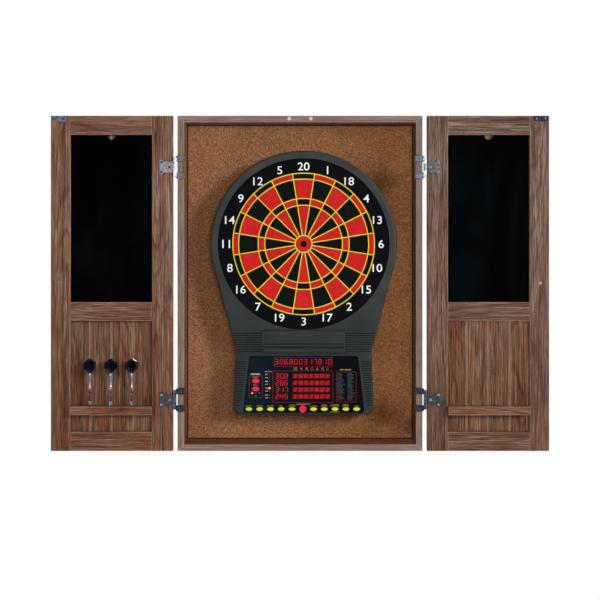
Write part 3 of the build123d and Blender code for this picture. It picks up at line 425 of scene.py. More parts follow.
def bed(name, colour):
    """Target bed: a lattice of small holes that a soft tip goes into."""
    s = Shader(name)
    low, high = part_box("number_ring")
    centre = low.lerp(high, 0.5)
    flat = s.stretch(s.position, (1.0, 0.0, 1.0))
    flat = s.shift(flat, (-centre.x, 0.0, -centre.z))
    hole = s.cells(flat, 1 / (3.3 * MM), randomness=0.0)
    cloud = s.noise(s.position, 30, detail=3)
    skin = s.noise(s.position, 1800, detail=2)
    base = s.mix(s.span(cloud, 0.3, 0.7), scaled(colour, 0.86), colour)
    # Painted shade: the holes darkened
    base = s.mix(s.span(hole, 0.30, 0.20, 0.0, 0.9), base, scaled(colour, 0.22))
    height = s.plus(s.span(hole, 0.17, 0.34), s.times(skin, 0.08))
    return s.set(
        Base_Color=base,
        Roughness=s.span(cloud, 0.3, 0.7, 0.44, 0.56),
        Specular_IOR_Level=0.07,
        Normal=s.bump(height, 0.0004, 0.8),
    )


def metal(name, colour, roughness=0.3, blotch=0.5, dull=0.6, metallic=1.0, lower=None, edge_wear_and_sheen=EDGE_HIGHLIGHT,
          rim=0.0009):
    """Plated steel with a blotchy surface; lower is its colour below the cabinet's middle, a painted
    change of reflection.
    """
    s = Shader(name, Metallic=metallic)
    blot = s.noise(s.position, 330, detail=4, roughness=0.68)
    fine = s.noise(s.stretch(s.position, (300, 300, 2400)), detail=2)
    bright = colour
    # Painted reflection: another colour for the hardware below the middle
    if lower:
        bright = s.mix(s.span(s.along("Z"), 0.05, -0.05), colour, lower)
    dark = s.tint(1.0, bright, (1 - dull, 1 - dull, 1 - dull, 1.0))
    base = s.mix(s.span(blot, 0.62, 0.38, 0.0, blotch), bright, dark)
    # Edges take the given painted edge colour, a highlight for most metal and a dark reflection for the
    # hinges
    base = s.mix(s.times(s.worn_edge(rim), 0.85), base, edge_wear_and_sheen)
    # Painted shade: hollows round screws and folds darkened
    base = s.mix(s.times(s.crevice(0.0025), 0.85), base, srgb(16, 15, 18))
    return s.set(
        Base_Color=base,
        Roughness=s.span(blot, 0.35, 0.65, roughness, roughness + 0.2),
        Normal=s.bump(s.plus(blot, s.times(fine, 0.3)), 0.00012, 0.5),
    )


def slate(name, wiped):
    """Painted blackboard with the faintest haze of wiped chalk."""
    s = Shader(name)
    haze = s.noise(s.stretch(s.position, (7, 7, 3)), detail=5, roughness=0.6, distortion=0.8)
    skin = s.noise(s.position, 1500, detail=2)
    return s.set(
        Base_Color=s.mix(s.span(haze, 0.40, 0.75), srgb(2, 1, 1), wiped),
        Roughness=s.span(haze, 0.3, 0.7, 0.66, 0.84),
        Specular_IOR_Level=0.015,
        Normal=s.bump(skin, 0.00006, 0.6),
    )


def console_gloss():
    """Smoked, printed panel with a painted reflection: dark teal at its left end and nearly black at its
    right.
    """
    s = Shader("console_gloss")
    cloud = s.noise(s.position, 18, detail=3)
    swirl = s.noise(s.position, 500, detail=2)
    place = s.plus(s.along("X"), s.sway(cloud, 0.06))
    # Painted reflection across the panel
    base = s.mix(s.span(place, -0.13, 0.04), srgb(10, 27, 36), srgb(9, 10, 16))
    return s.set(
        Base_Color=base,
        Roughness=s.span(swirl, 0.3, 0.7, 0.15, 0.22),
        Coat_Weight=0.15,
        Specular_IOR_Level=0.25,
        Normal=s.bump(cloud, 0.0002, 0.3),
    )


def glow(name, colour, strength, body=0.5):
    """Lit display segment, a little uneven in brightness."""
    s = Shader(name, Roughness=0.4, Specular_IOR_Level=0.1)
    haze = s.noise(s.position, 700, detail=1)
    shade = s.mix(s.span(haze, 0.3, 0.7), scaled(colour, 0.75), colour)
    return s.set(
        Base_Color=s.tint(1.0, shade, (body, body, body, 1.0)),
        Emission_Color=shade,
        Emission_Strength=strength,
        Normal=s.bump(haze, 0.0001, 0.3),
    )


# ------------------------ finishes of the CAD parts

GAME_BUTTONS = [f"game_button_{number:02d}" for number in range(1, 11)]


def assign(material, *names):
    """Gives the named CAD nodes a material."""
    for name in names:
        for slot in NODES[name].material_slots:
            slot.material = material


def dress_wood():
    sides = {"left": (11, 0.6, 0.4, (1.0, 1.0, 1.0)), "right": (47, 0.25, 0.7, (0.78, 0.83, 0.87))}
    plank_shade = (0.90, 0.95, 0.86)
    for side, (seed, rust, limed, shade) in sides.items():
        stile = wood(f"{side}_stile_wood", STANDING, seed, STILE_CELL, rust, limed, shade)
        assign(stile, f"{side}_door_stiles")
        rail = wood(f"{side}_rail_wood", LYING, seed + 9, RAIL_CELL, rust, limed, shade)
        assign(rail, f"{side}_door_rails")
        plank = wood(f"{side}_plank_wood", STANDING, seed + 20, PLANK_CELL, 0.75, 0.5, plank_shade,
                     seams=True)
        assign(plank, f"{side}_door_planks")
        shelf = wood(f"{side}_shelf_wood", LYING, seed + 30, None, 0.7, 0.4)
        assign(shelf, f"{side}_dart_shelf")
        board = wood(f"{side}_side_wood", STANDING, seed + 40, None, 0.4, 0.5, shade, face_shade=True)
        assign(board, f"carcass_{side}_side")
    assign(wood("top_board_wood", LYING, 5, None, 0.4, 0.5, face_shade=True), "carcass_top")
    assign(wood("bottom_board_wood", LYING, 8, None, 0.4, 0.5, face_shade=True), "carcass_bottom")
    assign(wood("backing_board", STANDING, 3, None, 0.3, 0.2, (1.25, 1.2, 1.1)), "back_panel")


def dress_metal():
    # Painted reflection: one steel as bright upper and dark lower hinges, a darker right leaf, a dark
    # right strike plate
    leaf = {"lower": srgb(112, 120, 134), "edge_wear_and_sheen": DARK_EDGE_REFLECTION}
    left_leaf = metal("left_leaf_steel", srgb(216, 214, 230), 0.3, 0.8, 0.65, 0.75, **leaf)
    assign(left_leaf, "left_hinge_leaves")
    right_leaf = metal("right_leaf_steel", srgb(166, 168, 172), 0.3, 0.9, 0.75, 0.8, **leaf)
    assign(right_leaf, "right_hinge_leaves")
    arm = metal("arm_steel", srgb(206, 210, 220), 0.2, 0.7, 0.6, 0.85, lower=srgb(104, 114, 128),
                edge_wear_and_sheen=DARK_EDGE_REFLECTION, rim=0.003)
    assign(arm, "hinge_frame_leaves", "hinge_pins")
    for node, name, colour, *finish in (
        ("left_strike_plate", "left_strike_steel", (170, 184, 208), 0.22, 1.0, 0.85, 0.8),
        ("right_strike_plate", "right_strike_steel", (76, 88, 114), 0.22, 1.0, 0.9, 0.8),
        ("catch_magnets", "magnet_steel", (235, 230, 220), 0.45, 0.15, 0.4, 0.5),
    ):
        assign(metal(name, srgb(*colour), *finish), node)
    assign(metal("screw_steel", srgb(170, 170, 178), 0.3, 0.4), "cabinet_screws", "machine_screws",
           "left_door_screws", "right_door_screws")
    assign(metal("pull_steel", srgb(175, 175, 180), 0.3, 0.4), "left_pull_post", "left_pull_tab",
           "right_pull_post", "right_pull_tab")


def dress_board():
    assign(casing(), "rear_housing", "front_housing")
    assign(plastic("ring_plastic", srgb(11, 11, 16), 0.55, shine=0.05), "number_ring")
    assign(bed("red_plastic", srgb(222, 40, 40)), "red_segments", "outer_bull")
    assign(bed("black_plastic", srgb(14, 17, 12)), "black_segments", "inner_bull")
    assign(console_gloss(), "console_panel")
    assign(plastic("button_yellow", srgb(226, 226, 58), 0.3, scuff=0.2), *GAME_BUTTONS)
    assign(plastic("button_red", srgb(238, 36, 78), 0.3, scuff=0.2), "player_change_button",
           "setup_button_upper", "setup_button_lower")
    for node, name, colour, roughness in (
        ("spider", "web_plastic", (250, 216, 62), 0.4),
        ("display_electronics", "circuit_board", (24, 70, 44), 0.4),
        ("speaker", "speaker_black", (24, 24, 24), 0.6),
        ("sensor_sheet", "sensor_rubber", (40, 40, 42), 0.8),
        ("power_jack", "jack_black", (18, 18, 18), 0.4),
    ):
        assign(plastic(name, srgb(*colour), roughness), node)


def dress_cad():
    dress_wood()
    assign(cork(), "cork_lining")
    assign(slate("left_slate", srgb(8, 8, 9)), "left_blackboard")
    assign(slate("right_slate", srgb(3, 13, 17)), "right_blackboard")
    dress_metal()
    dress_board()


# ------------------------ mesh helpers

def object_of(name, bm):
    """A mesh object made from bm, which is freed."""
    mesh = bpy.data.meshes.new(name)
    bm.to_mesh(mesh)
    bm.free()
    made = bpy.data.objects.new(name, mesh)
    bpy.context.scene.collection.objects.link(made)
    return made


def finished(name, bm, body, material):
    """A smooth piece with crisp edges that rides on a body."""
    bmesh.ops.recalc_face_normals(bm, faces=bm.faces)
    made = object_of(name, bm)
    for polygon in made.data.polygons:
        polygon.use_smooth = True
    made.data.set_sharp_from_angle(angle=math.radians(38))
    made.data.materials.append(material)
    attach(made, body)
    return made


def round_points(count, radius=1.0):
    turns = [index * math.tau / count for index in range(count)]
    return [(radius * math.cos(turn), radius * math.sin(turn)) for turn in turns]


def join_loops(bm, first, second):
    """Faces between two closed loops of as many vertices."""
    for k in range(len(first)):
        after = (k + 1) % len(first)
        bm.faces.new((first[k], second[k], second[after], first[after]))


def lathe(bm, profile, sides=32):
    """Turns (radius, height) pairs in millimetres about the Z axis, closed at both ends."""
    rings = []
    for radius, z in profile:
        rings.append([bm.verts.new(Vector((x, y, z)) * MM) for x, y in round_points(sides, radius)])
    for low, high in zip(rings, rings[1:]):
        join_loops(bm, high, low)
    bm.faces.new(list(reversed(rings[0])))
    bm.faces.new(rings[-1])


# ------------------------ numbers of the ring

NUMBERS = (20, 1, 18, 4, 13, 6, 10, 15, 2, 17, 3, 19, 7, 16, 8, 11, 14, 9, 12, 5)
NUMBER_R = 213.5 * MM
NUMBER_HEIGHT = 22 * MM
NUMBER_RELIEF = 0.5 * MM
NUMBER_BOLDNESS = 0.005
NUMBER_WIDENING = 1.1


def number_mesh(words):
    """Raised figures, standing on the XZ plane with their face to the front, centred."""
    curve = bpy.data.curves.new("figures", "FONT")
    curve.body = words
    curve.align_x = "CENTER"
    curve.offset = NUMBER_BOLDNESS
    curve.extrude = 0.5
    holder = bpy.data.objects.new("figures", curve)
    bpy.context.scene.collection.objects.link(holder)
    bpy.context.view_layer.update()
    mesh = bpy.data.meshes.new_from_object(holder)
    bpy.data.objects.remove(holder)
    bpy.data.curves.remove(curve)
    low = Vector([min(v.co[i] for v in mesh.vertices) for i in range(3)])
    high = Vector([max(v.co[i] for v in mesh.vertices) for i in range(3)])
    grow = NUMBER_HEIGHT / (high.y - low.y)
    sizes = (grow * NUMBER_WIDENING, grow, NUMBER_RELIEF / (high.z - low.z), 1.0)
    mesh.transform(Matrix.Diagonal(sizes) @ Matrix.Translation(-(low + high) / 2))
    mesh.transform(Matrix.Rotation(math.radians(90), 4, "X"))
    return mesh


def ring_numbers():
    low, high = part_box("number_ring")
    centre = (low + high) / 2
    bm = bmesh.new()
    for index, number in enumerate(NUMBERS):
        turn = math.radians(index * 360 / len(NUMBERS))
        x = centre.x + NUMBER_R * math.sin(turn)
        z = centre.z + NUMBER_R * math.cos(turn)
        mesh = number_mesh(str(number))
        mesh.transform(Matrix.Translation((x, low.y, z)))
        bm.from_mesh(mesh)
        bpy.data.meshes.remove(mesh)
    made = object_of("ring_numbers", bm)
    made.data.materials.append(plastic("number_white", srgb(250, 250, 250), 0.5))
    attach(made, "cabinet")


# ------------------------ console graphics

# Millimetres.  x and z are measured to the right and up from the middle of the console panel.
PANEL_MIDDLE = middle_mm("console_panel")
PANEL_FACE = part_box("console_panel")[0].y / MM
PRINT_FRONT = PANEL_FACE - 0.1
UNLIT_FRONT = PANEL_FACE - 0.15
LIT_FRONT = PANEL_FACE - 0.3
PRINT_GAP = 0.02
EDGE_SOFTENING = 0.04
SOFTENED_SHARE = 0.93

# Widths of the ticks that make up fine print, the shares cut off their tops, and the gaps
TICK_WIDTHS = (0.8, 1.7)
TICK_CUTS = (0.0, 0.0, 0.25)
TICK_GAPS = (0.45, 0.45, 0.45, 1.3)
LAST_TICK_ROOM = 0.9

SEGMENT_SETS = {
    "0": "abcdef", "1": "bc", "2": "abged", "3": "abgcd", "4": "fgbc", "5": "afgcd", "6": "afgcde",
    "7": "abc", "8": "abcdefg", "9": "abcdfg",
}
DIGIT_WIDTH = 7.6

MESSAGE = "306800317810"
MESSAGE_START, MESSAGE_PITCH = -74.5, 13.3
MESSAGE_Z, MESSAGE_HEIGHT = 62.0, 13.4

# One row for each player: a score, then a bar of cricket marks
SCORES = ("308", "286", "317", "245")
ROW_Z = (22.9, 4.1, -14.6, -33.3)
SCORE_START, SCORE_PITCH = -72.4, 12.2
SCORE_HEIGHT = 13.0
MARK_BAR = (-30.5, 73.2)
MARK_BAR_HALF = 6.6
MARK_START, MARK_PITCH, MARK_COUNT = -23.1, 14.8, 7
MARK_R, MARK_RING_WIDTH = 5.2, 1.6
MARK_ARM, MARK_ARM_WIDTH, MARK_GAP = 3.2, 1.7, 0.6

# The numbers over the marks, and a ring for the bull
LABEL_START, LABEL_Z = -26.0, 42.8
LABEL_DIGIT = (3.4, 6.4)
LABEL_DIGIT_PITCH = 5.8
LABEL_WEIGHT = 0.21
BULL_LABEL_X, BULL_LABEL_R, BULL_LABEL_WIDTH = 65.7, 2.9, 1.4

# Frames as (left, right, bottom, top, line width): the message, the scores, setup, the list of games
RED_FRAMES = (
    (-81.7, 79.3, 48.5, 74.7, 0.9),
    (-85.3, 81.2, -50.0, 37.5, 0.9),
    (-150.3, -112.8, -36.2, 23.2, 0.8),
    (90.0, 145.0, -48.9, 34.5, 0.9),
)
STATUS_Z = (27.3, 18.5, 8.4, 0.4, -10.3, -18.1, -29.6, -37.3)
STATUS_X, STATUS_R = -93.8, 1.8
STATUS_LIT, STATUS_LIT_R = 4, 3.2
STATUS_CAPTION = (-105.0, -98.5)
SETUP_LAMP = (-141.2, -23.9, 2.6)
SETUP_DOTS = ((-131.6, -23.9), (-122.0, -23.9), (-131.6, -31.5))
SETUP_DOT_R = 0.9

# Lines of fine print as (left, right, z, height, seed): over the status lamps, the upper and lower
# setup buttons and the list of games, and under the last buttons; then over the setup frame
YELLOW_PRINT = (
    (-107.3, -87.0, 35.1, 2.6, 20),
    (-140.0, -124.6, 19.6, 2.4, 22),
    (-139.0, -125.6, -1.8, 2.4, 23),
    (100.0, 133.0, 40.2, 3.0, 24),
    (71.0, 100.0, -75.7, 1.9, 80),
)
WHITE_PRINT = (-146.0, -119.4, 28.3, 4.2, 21)

# The list of games: two columns as (left, widest line, seed)
LIST_COLUMNS = ((92.8, 21.0, 102), (120.8, 20.5, 130))
LIST_TOP, LIST_PITCH, LIST_HEIGHT = 29.7, 3.3, 1.7
LIST_LINES, LIST_GREY_LINES = 23, 14

# Half widths of the buttons' captions, their heights, and the buttons that have a second line
BUTTON_CAPTIONS = (9.0, 8.0, 9.5, 5.0, 9.0, 11.0, 8.5, 13.0, 9.5, 6.5)
BUTTON_CAPTION_Z = -59.7
TWO_LINE_BUTTONS = (5, 7, 8, 9)
SECOND_LINE_Z = -55.9
PLAYER_CAPTION = 19.0
PLAYER_CAPTION_Z = -54.7


class Print:
    """Flat shapes in millimetres on the console's face, gathered into one piece."""

    def __init__(self, name, front):
        self.name = name
        self.front = front
        self.bm = bmesh.new()

    def shape(self, corners):
        """A thin plate with these (x, z) corners, its face at the front and its edges softened."""
        middle_x = sum(x for x, _ in corners) / len(corners)
        middle_z = sum(z for _, z in corners) / len(corners)
        levels = ((PANEL_FACE - PRINT_GAP, 1.0), (self.front + EDGE_SOFTENING, 1.0),
                  (self.front, SOFTENED_SHARE))
        loops = []
        for y, size in levels:
            loop = []
            for x, z in corners:
                right = PANEL_MIDDLE.x + middle_x + (x - middle_x) * size
                up = PANEL_MIDDLE.z + middle_z + (z - middle_z) * size
                loop.append(self.bm.verts.new((right * MM, y * MM, up * MM)))
            loops.append(loop)
        for back, near in zip(loops, loops[1:]):
            join_loops(self.bm, near, back)
        self.bm.faces.new(loops[-1])

    def bar(self, x0, x1, z0, z1):
        self.shape([(x0, z0), (x1, z0), (x1, z1), (x0, z1)])

    def dot(self, x, z, radius, sides=16):
        self.shape([(x + dx, z + dz) for dx, dz in round_points(sides, radius)])

    def frame(self, x0, x1, z0, z1, width):
        self.bar(x0, x1, z0, z0 + width)
        self.bar(x0, x1, z1 - width, z1)
        self.bar(x0, x0 + width, z0 + width, z1 - width)
        self.bar(x1 - width, x1, z0 + width, z1 - width)

    def stroke(self, x0, z0, x1, z1, width):
        """A bar with pointed ends between two points."""
        length = math.hypot(x1 - x0, z1 - z0)
        ux, uz = (x1 - x0) / length, (z1 - z0) / length
        half = width / 2
        near = [(half, -half), (half, half)]
        far = [(length - half, half), (length - half, -half)]
        local = [(0, 0)] + near + [(length, 0)] + far
        self.shape([(x0 + a * ux - b * uz, z0 + a * uz + b * ux) for a, b in local])

    def octagon(self, x, z, radius, width, drawn):
        """A ring of eight strokes; drawn says which of them are there."""
        for side in drawn:
            a, b = (math.radians(22.5 + 45 * corner) for corner in (side, side + 1))
            self.stroke(x + radius * math.cos(a), z + radius * math.sin(a),
                        x + radius * math.cos(b), z + radius * math.sin(b), width)

    def digit(self, x, z, width, height, lit, slant=0.09, weight=0.13):
        """Seven slanted segments centred on (x, z); lit says which of a-g are drawn."""
        w, h = width / 2, height / 2
        ends = {"a": (-w, h, w, h), "g": (-w, 0, w, 0), "d": (-w, -h, w, -h), "f": (-w, 0, -w, h),
                "b": (w, 0, w, h), "e": (-w, -h, -w, 0), "c": (w, -h, w, 0)}
        for part in lit:
            x0, z0, x1, z1 = ends[part]
            self.stroke(x + x0 + z0 * slant, z + z0, x + x1 + z1 * slant, z + z1, height * weight)

    def caption(self, x0, x1, z, height, seed):
        """A row of small uneven ticks that stands for a line of fine print."""
        chance = random.Random(seed)
        x = x0
        while x < x1 - LAST_TICK_ROOM:
            width = chance.uniform(*TICK_WIDTHS)
            cut = chance.choice(TICK_CUTS) * height
            self.bar(x, min(x + width, x1), z - height / 2, z + height / 2 - cut)
            x += width + chance.choice(TICK_GAPS)

    def piece(self, material):
        bmesh.ops.recalc_face_normals(self.bm, faces=self.bm.faces)
        made = object_of(self.name, self.bm)
        made.data.materials.append(material)
        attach(made, "cabinet")


def display_row(lit, unlit, figures, start, pitch, z, height):
    """Seven-segment figures with their dark segments behind them."""
    for index, figure in enumerate(figures):
        x = start + index * pitch
        unlit.digit(x, z, DIGIT_WIDTH, height, "abcdefg")
        lit.digit(x, z, DIGIT_WIDTH, height, SEGMENT_SETS[figure])


def cricket_mark(lit, x, z, marks):
    """One, two or three marks: parts of a ring and a cross."""
    arm, gap, width = MARK_ARM, MARK_GAP, MARK_ARM_WIDTH
    lit.octagon(x, z, MARK_R, MARK_RING_WIDTH, range(8) if marks > 1 else (0, 1, 4, 5))
    lit.stroke(x - arm, z - arm, x + arm, z + arm, width)
    if marks != 2:
        lit.stroke(x - arm, z + arm, x - gap, z + gap, width)
        lit.stroke(x + gap, z - gap, x + arm, z - arm, width)


def displays(lit, unlit, labels):
    """The message, the scores and the cricket marks, with the labels over the marks."""
    display_row(lit, unlit, MESSAGE, MESSAGE_START, MESSAGE_PITCH, MESSAGE_Z, MESSAGE_HEIGHT)
    for row, (z, score) in enumerate(zip(ROW_Z, SCORES)):
        display_row(lit, unlit, score, SCORE_START, SCORE_PITCH, z, SCORE_HEIGHT)
        unlit.bar(*MARK_BAR, z - MARK_BAR_HALF, z + MARK_BAR_HALF)
        for column in range(MARK_COUNT):
            cricket_mark(lit, MARK_START + column * MARK_PITCH, z, 1 + (row * 3 + column * 2) % 3)
    for column in range(MARK_COUNT - 1):
        for place, figure in enumerate(str(20 - column)):
            x = LABEL_START + column * MARK_PITCH + place * LABEL_DIGIT_PITCH
            labels.digit(x, LABEL_Z, *LABEL_DIGIT, SEGMENT_SETS[figure], 0.0, LABEL_WEIGHT)
    labels.octagon(BULL_LABEL_X, LABEL_Z, BULL_LABEL_R, BULL_LABEL_WIDTH, range(8))


def status_lamps(red, white, lamps):
    """A column of lamps with their names; one is lit."""
    for index, z in enumerate(STATUS_Z):
        white.caption(*STATUS_CAPTION, z, 2.6, index)
        if index == STATUS_LIT:
            lamps.dot(STATUS_X, z, STATUS_LIT_R)
        else:
            red.dot(STATUS_X, z, STATUS_R)


def list_of_games(upper, lower):
    """Two columns of fine print, in one ink above and another below."""
    chance = random.Random(31)
    for line in range(LIST_LINES):
        ink = upper if line < LIST_GREY_LINES else lower
        for left, widest, seed in LIST_COLUMNS:
            right = left + widest * chance.uniform(0.55, 1.0)
            ink.caption(left, right, LIST_TOP - line * LIST_PITCH, LIST_HEIGHT, line * 7 + seed)


def button_captions(yellow):
    for number, half in enumerate(BUTTON_CAPTIONS, 1):
        x = middle_mm(GAME_BUTTONS[number - 1]).x - PANEL_MIDDLE.x
        seed = number if number > 5 else number - 1
        yellow.caption(x - half, x + half, BUTTON_CAPTION_Z, 2.2, 41 + seed)
        if number in TWO_LINE_BUTTONS:
            yellow.caption(x - half + 2, x + half - 2, SECOND_LINE_Z, 2.0, 61 + seed)
    x = middle_mm("player_change_button").x - PANEL_MIDDLE.x
    yellow.caption(x - PLAYER_CAPTION, x + PLAYER_CAPTION, PLAYER_CAPTION_Z, 2.6, 40)


def console_graphics():
    """All that is lit or printed on the console, one piece for each ink."""
    lit = Print("display_lit", LIT_FRONT)
    unlit = Print("display_unlit", UNLIT_FRONT)
    red = Print("console_red_lines", PRINT_FRONT)
    yellow = Print("console_yellow_print", PRINT_FRONT)
    labels = Print("console_labels", PRINT_FRONT)
    white = Print("console_white_print", PRINT_FRONT)
    grey = Print("console_grey_print", PRINT_FRONT)
    brown = Print("console_brown_print", PRINT_FRONT)
    lamps = Print("console_lamps", LIT_FRONT)

    displays(lit, unlit, labels)
    for edges in RED_FRAMES:
        red.frame(*edges)
    status_lamps(red, white, lamps)
    lamps.dot(*SETUP_LAMP)
    for x, z in SETUP_DOTS:
        white.dot(x, z, SETUP_DOT_R)
    white.caption(*WHITE_PRINT)
    for line in YELLOW_PRINT:
        yellow.caption(*line)
    list_of_games(grey, brown)
    button_captions(yellow)

    lit.piece(glow("display_red", srgb(246, 54, 66), 0.55))
    unlit.piece(glow("display_dark_red", srgb(126, 22, 30), 0.18, 0.6))
    for ink, name, colour in (
        (red, "red_print", (150, 26, 44)), (yellow, "yellow_print", (158, 154, 62)),
        (labels, "label_print", (238, 232, 130)), (white, "white_print", (206, 208, 210)),
        (grey, "grey_print", (64, 92, 104)), (brown, "brown_print", (88, 76, 74)),
    ):
        ink.piece(plastic(name, srgb(*colour), 0.4))
    lamps.piece(glow("lamp_orange", srgb(255, 150, 120), 1.0))


# ------------------------ screws of the doors

# Millimetres.  Screws are (head radius, shank radius, length), and LEAF_SPOTS are distances from the
# cabinet's middle and heights from the hinge's.  Each screw is turned by up to MOST_TURN radians.
LEAF_SCREW = (3.4, 1.6, 9.0)
PLATE_SCREW = (2.6, 1.3, 8.0)
PULL_SCREW = (3.9, 2.0, 20.0)
HINGE_Z = 317
LEAF_SPOTS = ((377.6, 13.5), (377.6, -13.5), (355.6, 0.0))
PLATE_SPOT_HALF = 12.0
LEAF_SCREW_Y, PLATE_SCREW_Y, PULL_SCREW_Y = -119.55, -119.25, -117.2
MOST_TURN = 1.5


def cross_screw(bm, spot, head_r, shank_r, depth, turn):
    """Countersunk screw with a cross recess; spot is the middle of its face, which looks forwards."""
    arm, half = head_r * 0.56, head_r * 0.13
    recess = []
    for quarter in range(4):
        a = quarter * math.pi / 2
        for x, z in ((arm, -half), (arm, half), (half, half)):
            recess.append((x * math.cos(a) - z * math.sin(a), x * math.sin(a) + z * math.cos(a)))
    rim = round_points(24)
    aim = Vector((0, -1, 0)).to_track_quat("Z", "Y").to_matrix().to_4x4()
    place = Matrix.Translation(Vector(spot) * MM) @ aim @ Matrix.Rotation(turn, 4, "Z")

    def ring(points, height, size=1.0):
        return [bm.verts.new(place @ (Vector((x * size, y * size, height)) * MM)) for x, y in points]

    top = ring(rim, 0.0, head_r * 0.93)
    recess_top = ring(recess, 0.0)
    recess_low = ring(recess, -head_r * 0.4, 0.8)
    side = ring(rim, -0.12, head_r)
    under = ring(rim, -(head_r - shank_r), shank_r)
    tip = ring(rim, -depth, shank_r * 0.9)
    edges = [bm.edges.new((loop[k], loop[(k + 1) % len(loop)])) for loop in (top, recess_top)
             for k in range(len(loop))]
    bmesh.ops.triangle_fill(bm, edges=edges, use_beauty=True)
    join_loops(bm, recess_top, recess_low)
    bm.faces.new(recess_low)
    for upper, lower in ((top, side), (side, under), (under, tip)):
        join_loops(bm, upper, lower)
    bm.faces.new(tip)


def door_screw_spots(side, sign):
    """The (spot, screw) pairs of a door: hinge leaves, strike plate and pull."""
    spots = [((sign * u, LEAF_SCREW_Y, end * HINGE_Z + z), LEAF_SCREW)
             for end in (-1, 1) for u, z in LEAF_SPOTS]
    plate = middle_mm(f"{side}_strike_plate")
    for shift in (-PLATE_SPOT_HALF, PLATE_SPOT_HALF):
        spots.append(((plate.x + sign * shift, PLATE_SCREW_Y, plate.z), PLATE_SCREW))
    spots.append(((middle_mm(f"{side}_pull_post").x, PULL_SCREW_Y, 0), PULL_SCREW))
    return spots


def door_screws():
    """Cross-recess screws in place of each door's plain ones, at chance angles."""
    chance = random.Random(5)
    # Painted highlight and shade: left screws darker above the middle and bright below, the right ones
    # bright
    bright = srgb(238, 238, 242)
    for side, sign, upper in (("left", -1, srgb(118, 118, 130)), ("right", 1, bright)):
        steel = metal(f"{side}_cross_screw_steel", upper, 0.24, 0.4, 0.5, 0.7, bright, DARK_EDGE_REFLECTION)
        bm = bmesh.new()
        for spot, screw in door_screw_spots(side, sign):
            cross_screw(bm, spot, *screw, chance.uniform(0, MOST_TURN))
        made = finished(f"{side}_door_cross_screws", bm, f"{side}_door", steel)
        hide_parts(f"{side}_door_screws")


# ------------------------ darts

# Millimetres.  Each dart stands on its tip, turned so that its flight has this angle in degrees.
DART_TURN = {"dart_1": 50, "dart_2": 44, "dart_3": 38}
NOSE_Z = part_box("dart_1")[0].z / MM + 21.0
BARREL_TOP = NOSE_Z + 50.0
SHAFT_TOP = BARREL_TOP + 42.0
FLIGHT_TOP = SHAFT_TOP + 40.0
FLIGHT_LENGTH = 43.0

# Outlines of the turned parts as (radius, height)
TIP_PROFILE = (
    (0.35, NOSE_Z - 21.0), (0.8, NOSE_Z - 20.2), (1.15, NOSE_Z - 14.0), (1.5, NOSE_Z - 7.0),
    (2.3, NOSE_Z - 5.6), (2.4, NOSE_Z - 1.0), (2.4, NOSE_Z + 0.5),
)
SHAFT_PROFILE = (
    (3.0, BARREL_TOP), (3.0, BARREL_TOP + 2), (2.4, BARREL_TOP + 2.6), (2.4, BARREL_TOP + 4),
    (2.8, BARREL_TOP + 4.6), (2.1, BARREL_TOP + 8), (2.0, BARREL_TOP + 13), (2.4, BARREL_TOP + 13.4),
    (2.4, BARREL_TOP + 14.6), (2.0, BARREL_TOP + 15), (2.0, SHAFT_TOP - 14), (2.6, SHAFT_TOP - 13),
    (2.7, SHAFT_TOP - 2), (2.3, SHAFT_TOP),
)

# A vane's edge from its top: (distance from the axis, drop), ending in the clip on the shaft
VANE_OUTLINE = (
    (2.0, 0.0), (11.5, 5.4), (21.4, 11.0), (21.8, 18.0), (21.4, 25.5), (11.5, 34.0), (2.4, 41.8),
    (1.8, FLIGHT_LENGTH), (1.6, 51.0),
)
VANE_STEPS = 6
VANE_BOW = 0.35
FOLD_R = 0.25
FOLD_EXTRA_HALF = 0.34
VANE_HALF = 0.09

# Paint on the barrel as (from, to, colour), in heights above its nose
BAND_BLACK = srgb(28, 26, 32)
BAND_RED = srgb(136, 28, 42)
BANDS = (
    (2, 5, BAND_BLACK), (16.5, 20.5, BAND_BLACK), (20.5, 27, BAND_RED), (27, 29.5, BAND_BLACK),
    (31, 33.5, BAND_BLACK), (35, 37, BAND_BLACK), (38.5, 41, BAND_BLACK), (41, 47, BAND_RED),
    (47, 51, BAND_BLACK),
)


def barrel_profile():
    """Barrel with ring grooves for grip between plain bands."""
    profile = [(2.9, NOSE_Z), (3.9, NOSE_Z + 1.8)]
    z = NOSE_Z + 4.0
    while z < BARREL_TOP - 7.0:
        profile += [(4.0, z), (3.62, z + 0.4), (3.62, z + 0.9), (4.0, z + 1.3)]
        z += 1.9
    return profile + [(4.0, BARREL_TOP - 5.0), (3.5, BARREL_TOP - 1.5), (3.0, BARREL_TOP)]


def barrel_paint():
    """Nickel barrel with painted red and black bands, chipped in places."""
    s = Shader("barrel_bands")
    height = s.plus(s.along("Z"), -NOSE_Z * MM)
    blot = s.noise(s.position, 500, detail=3)
    base = s.mix(s.span(blot, 0.35, 0.65), srgb(150, 150, 160), srgb(208, 208, 216))
    bare = 1.0
    for low, high, colour in BANDS:
        inside = s.times(s.math("GREATER_THAN", height, low * MM), s.math("LESS_THAN", height, high * MM))
        inside = s.times(inside, s.span(blot, 0.72, 0.62))
        base = s.mix(inside, base, colour)
        bare = s.minus(bare, inside)
    return s.set(
        Base_Color=base,
        Metallic=bare,
        Roughness=s.span(blot, 0.3, 0.7, 0.22, 0.36),
        Normal=s.bump(blot, 0.00008, 0.5),
    )


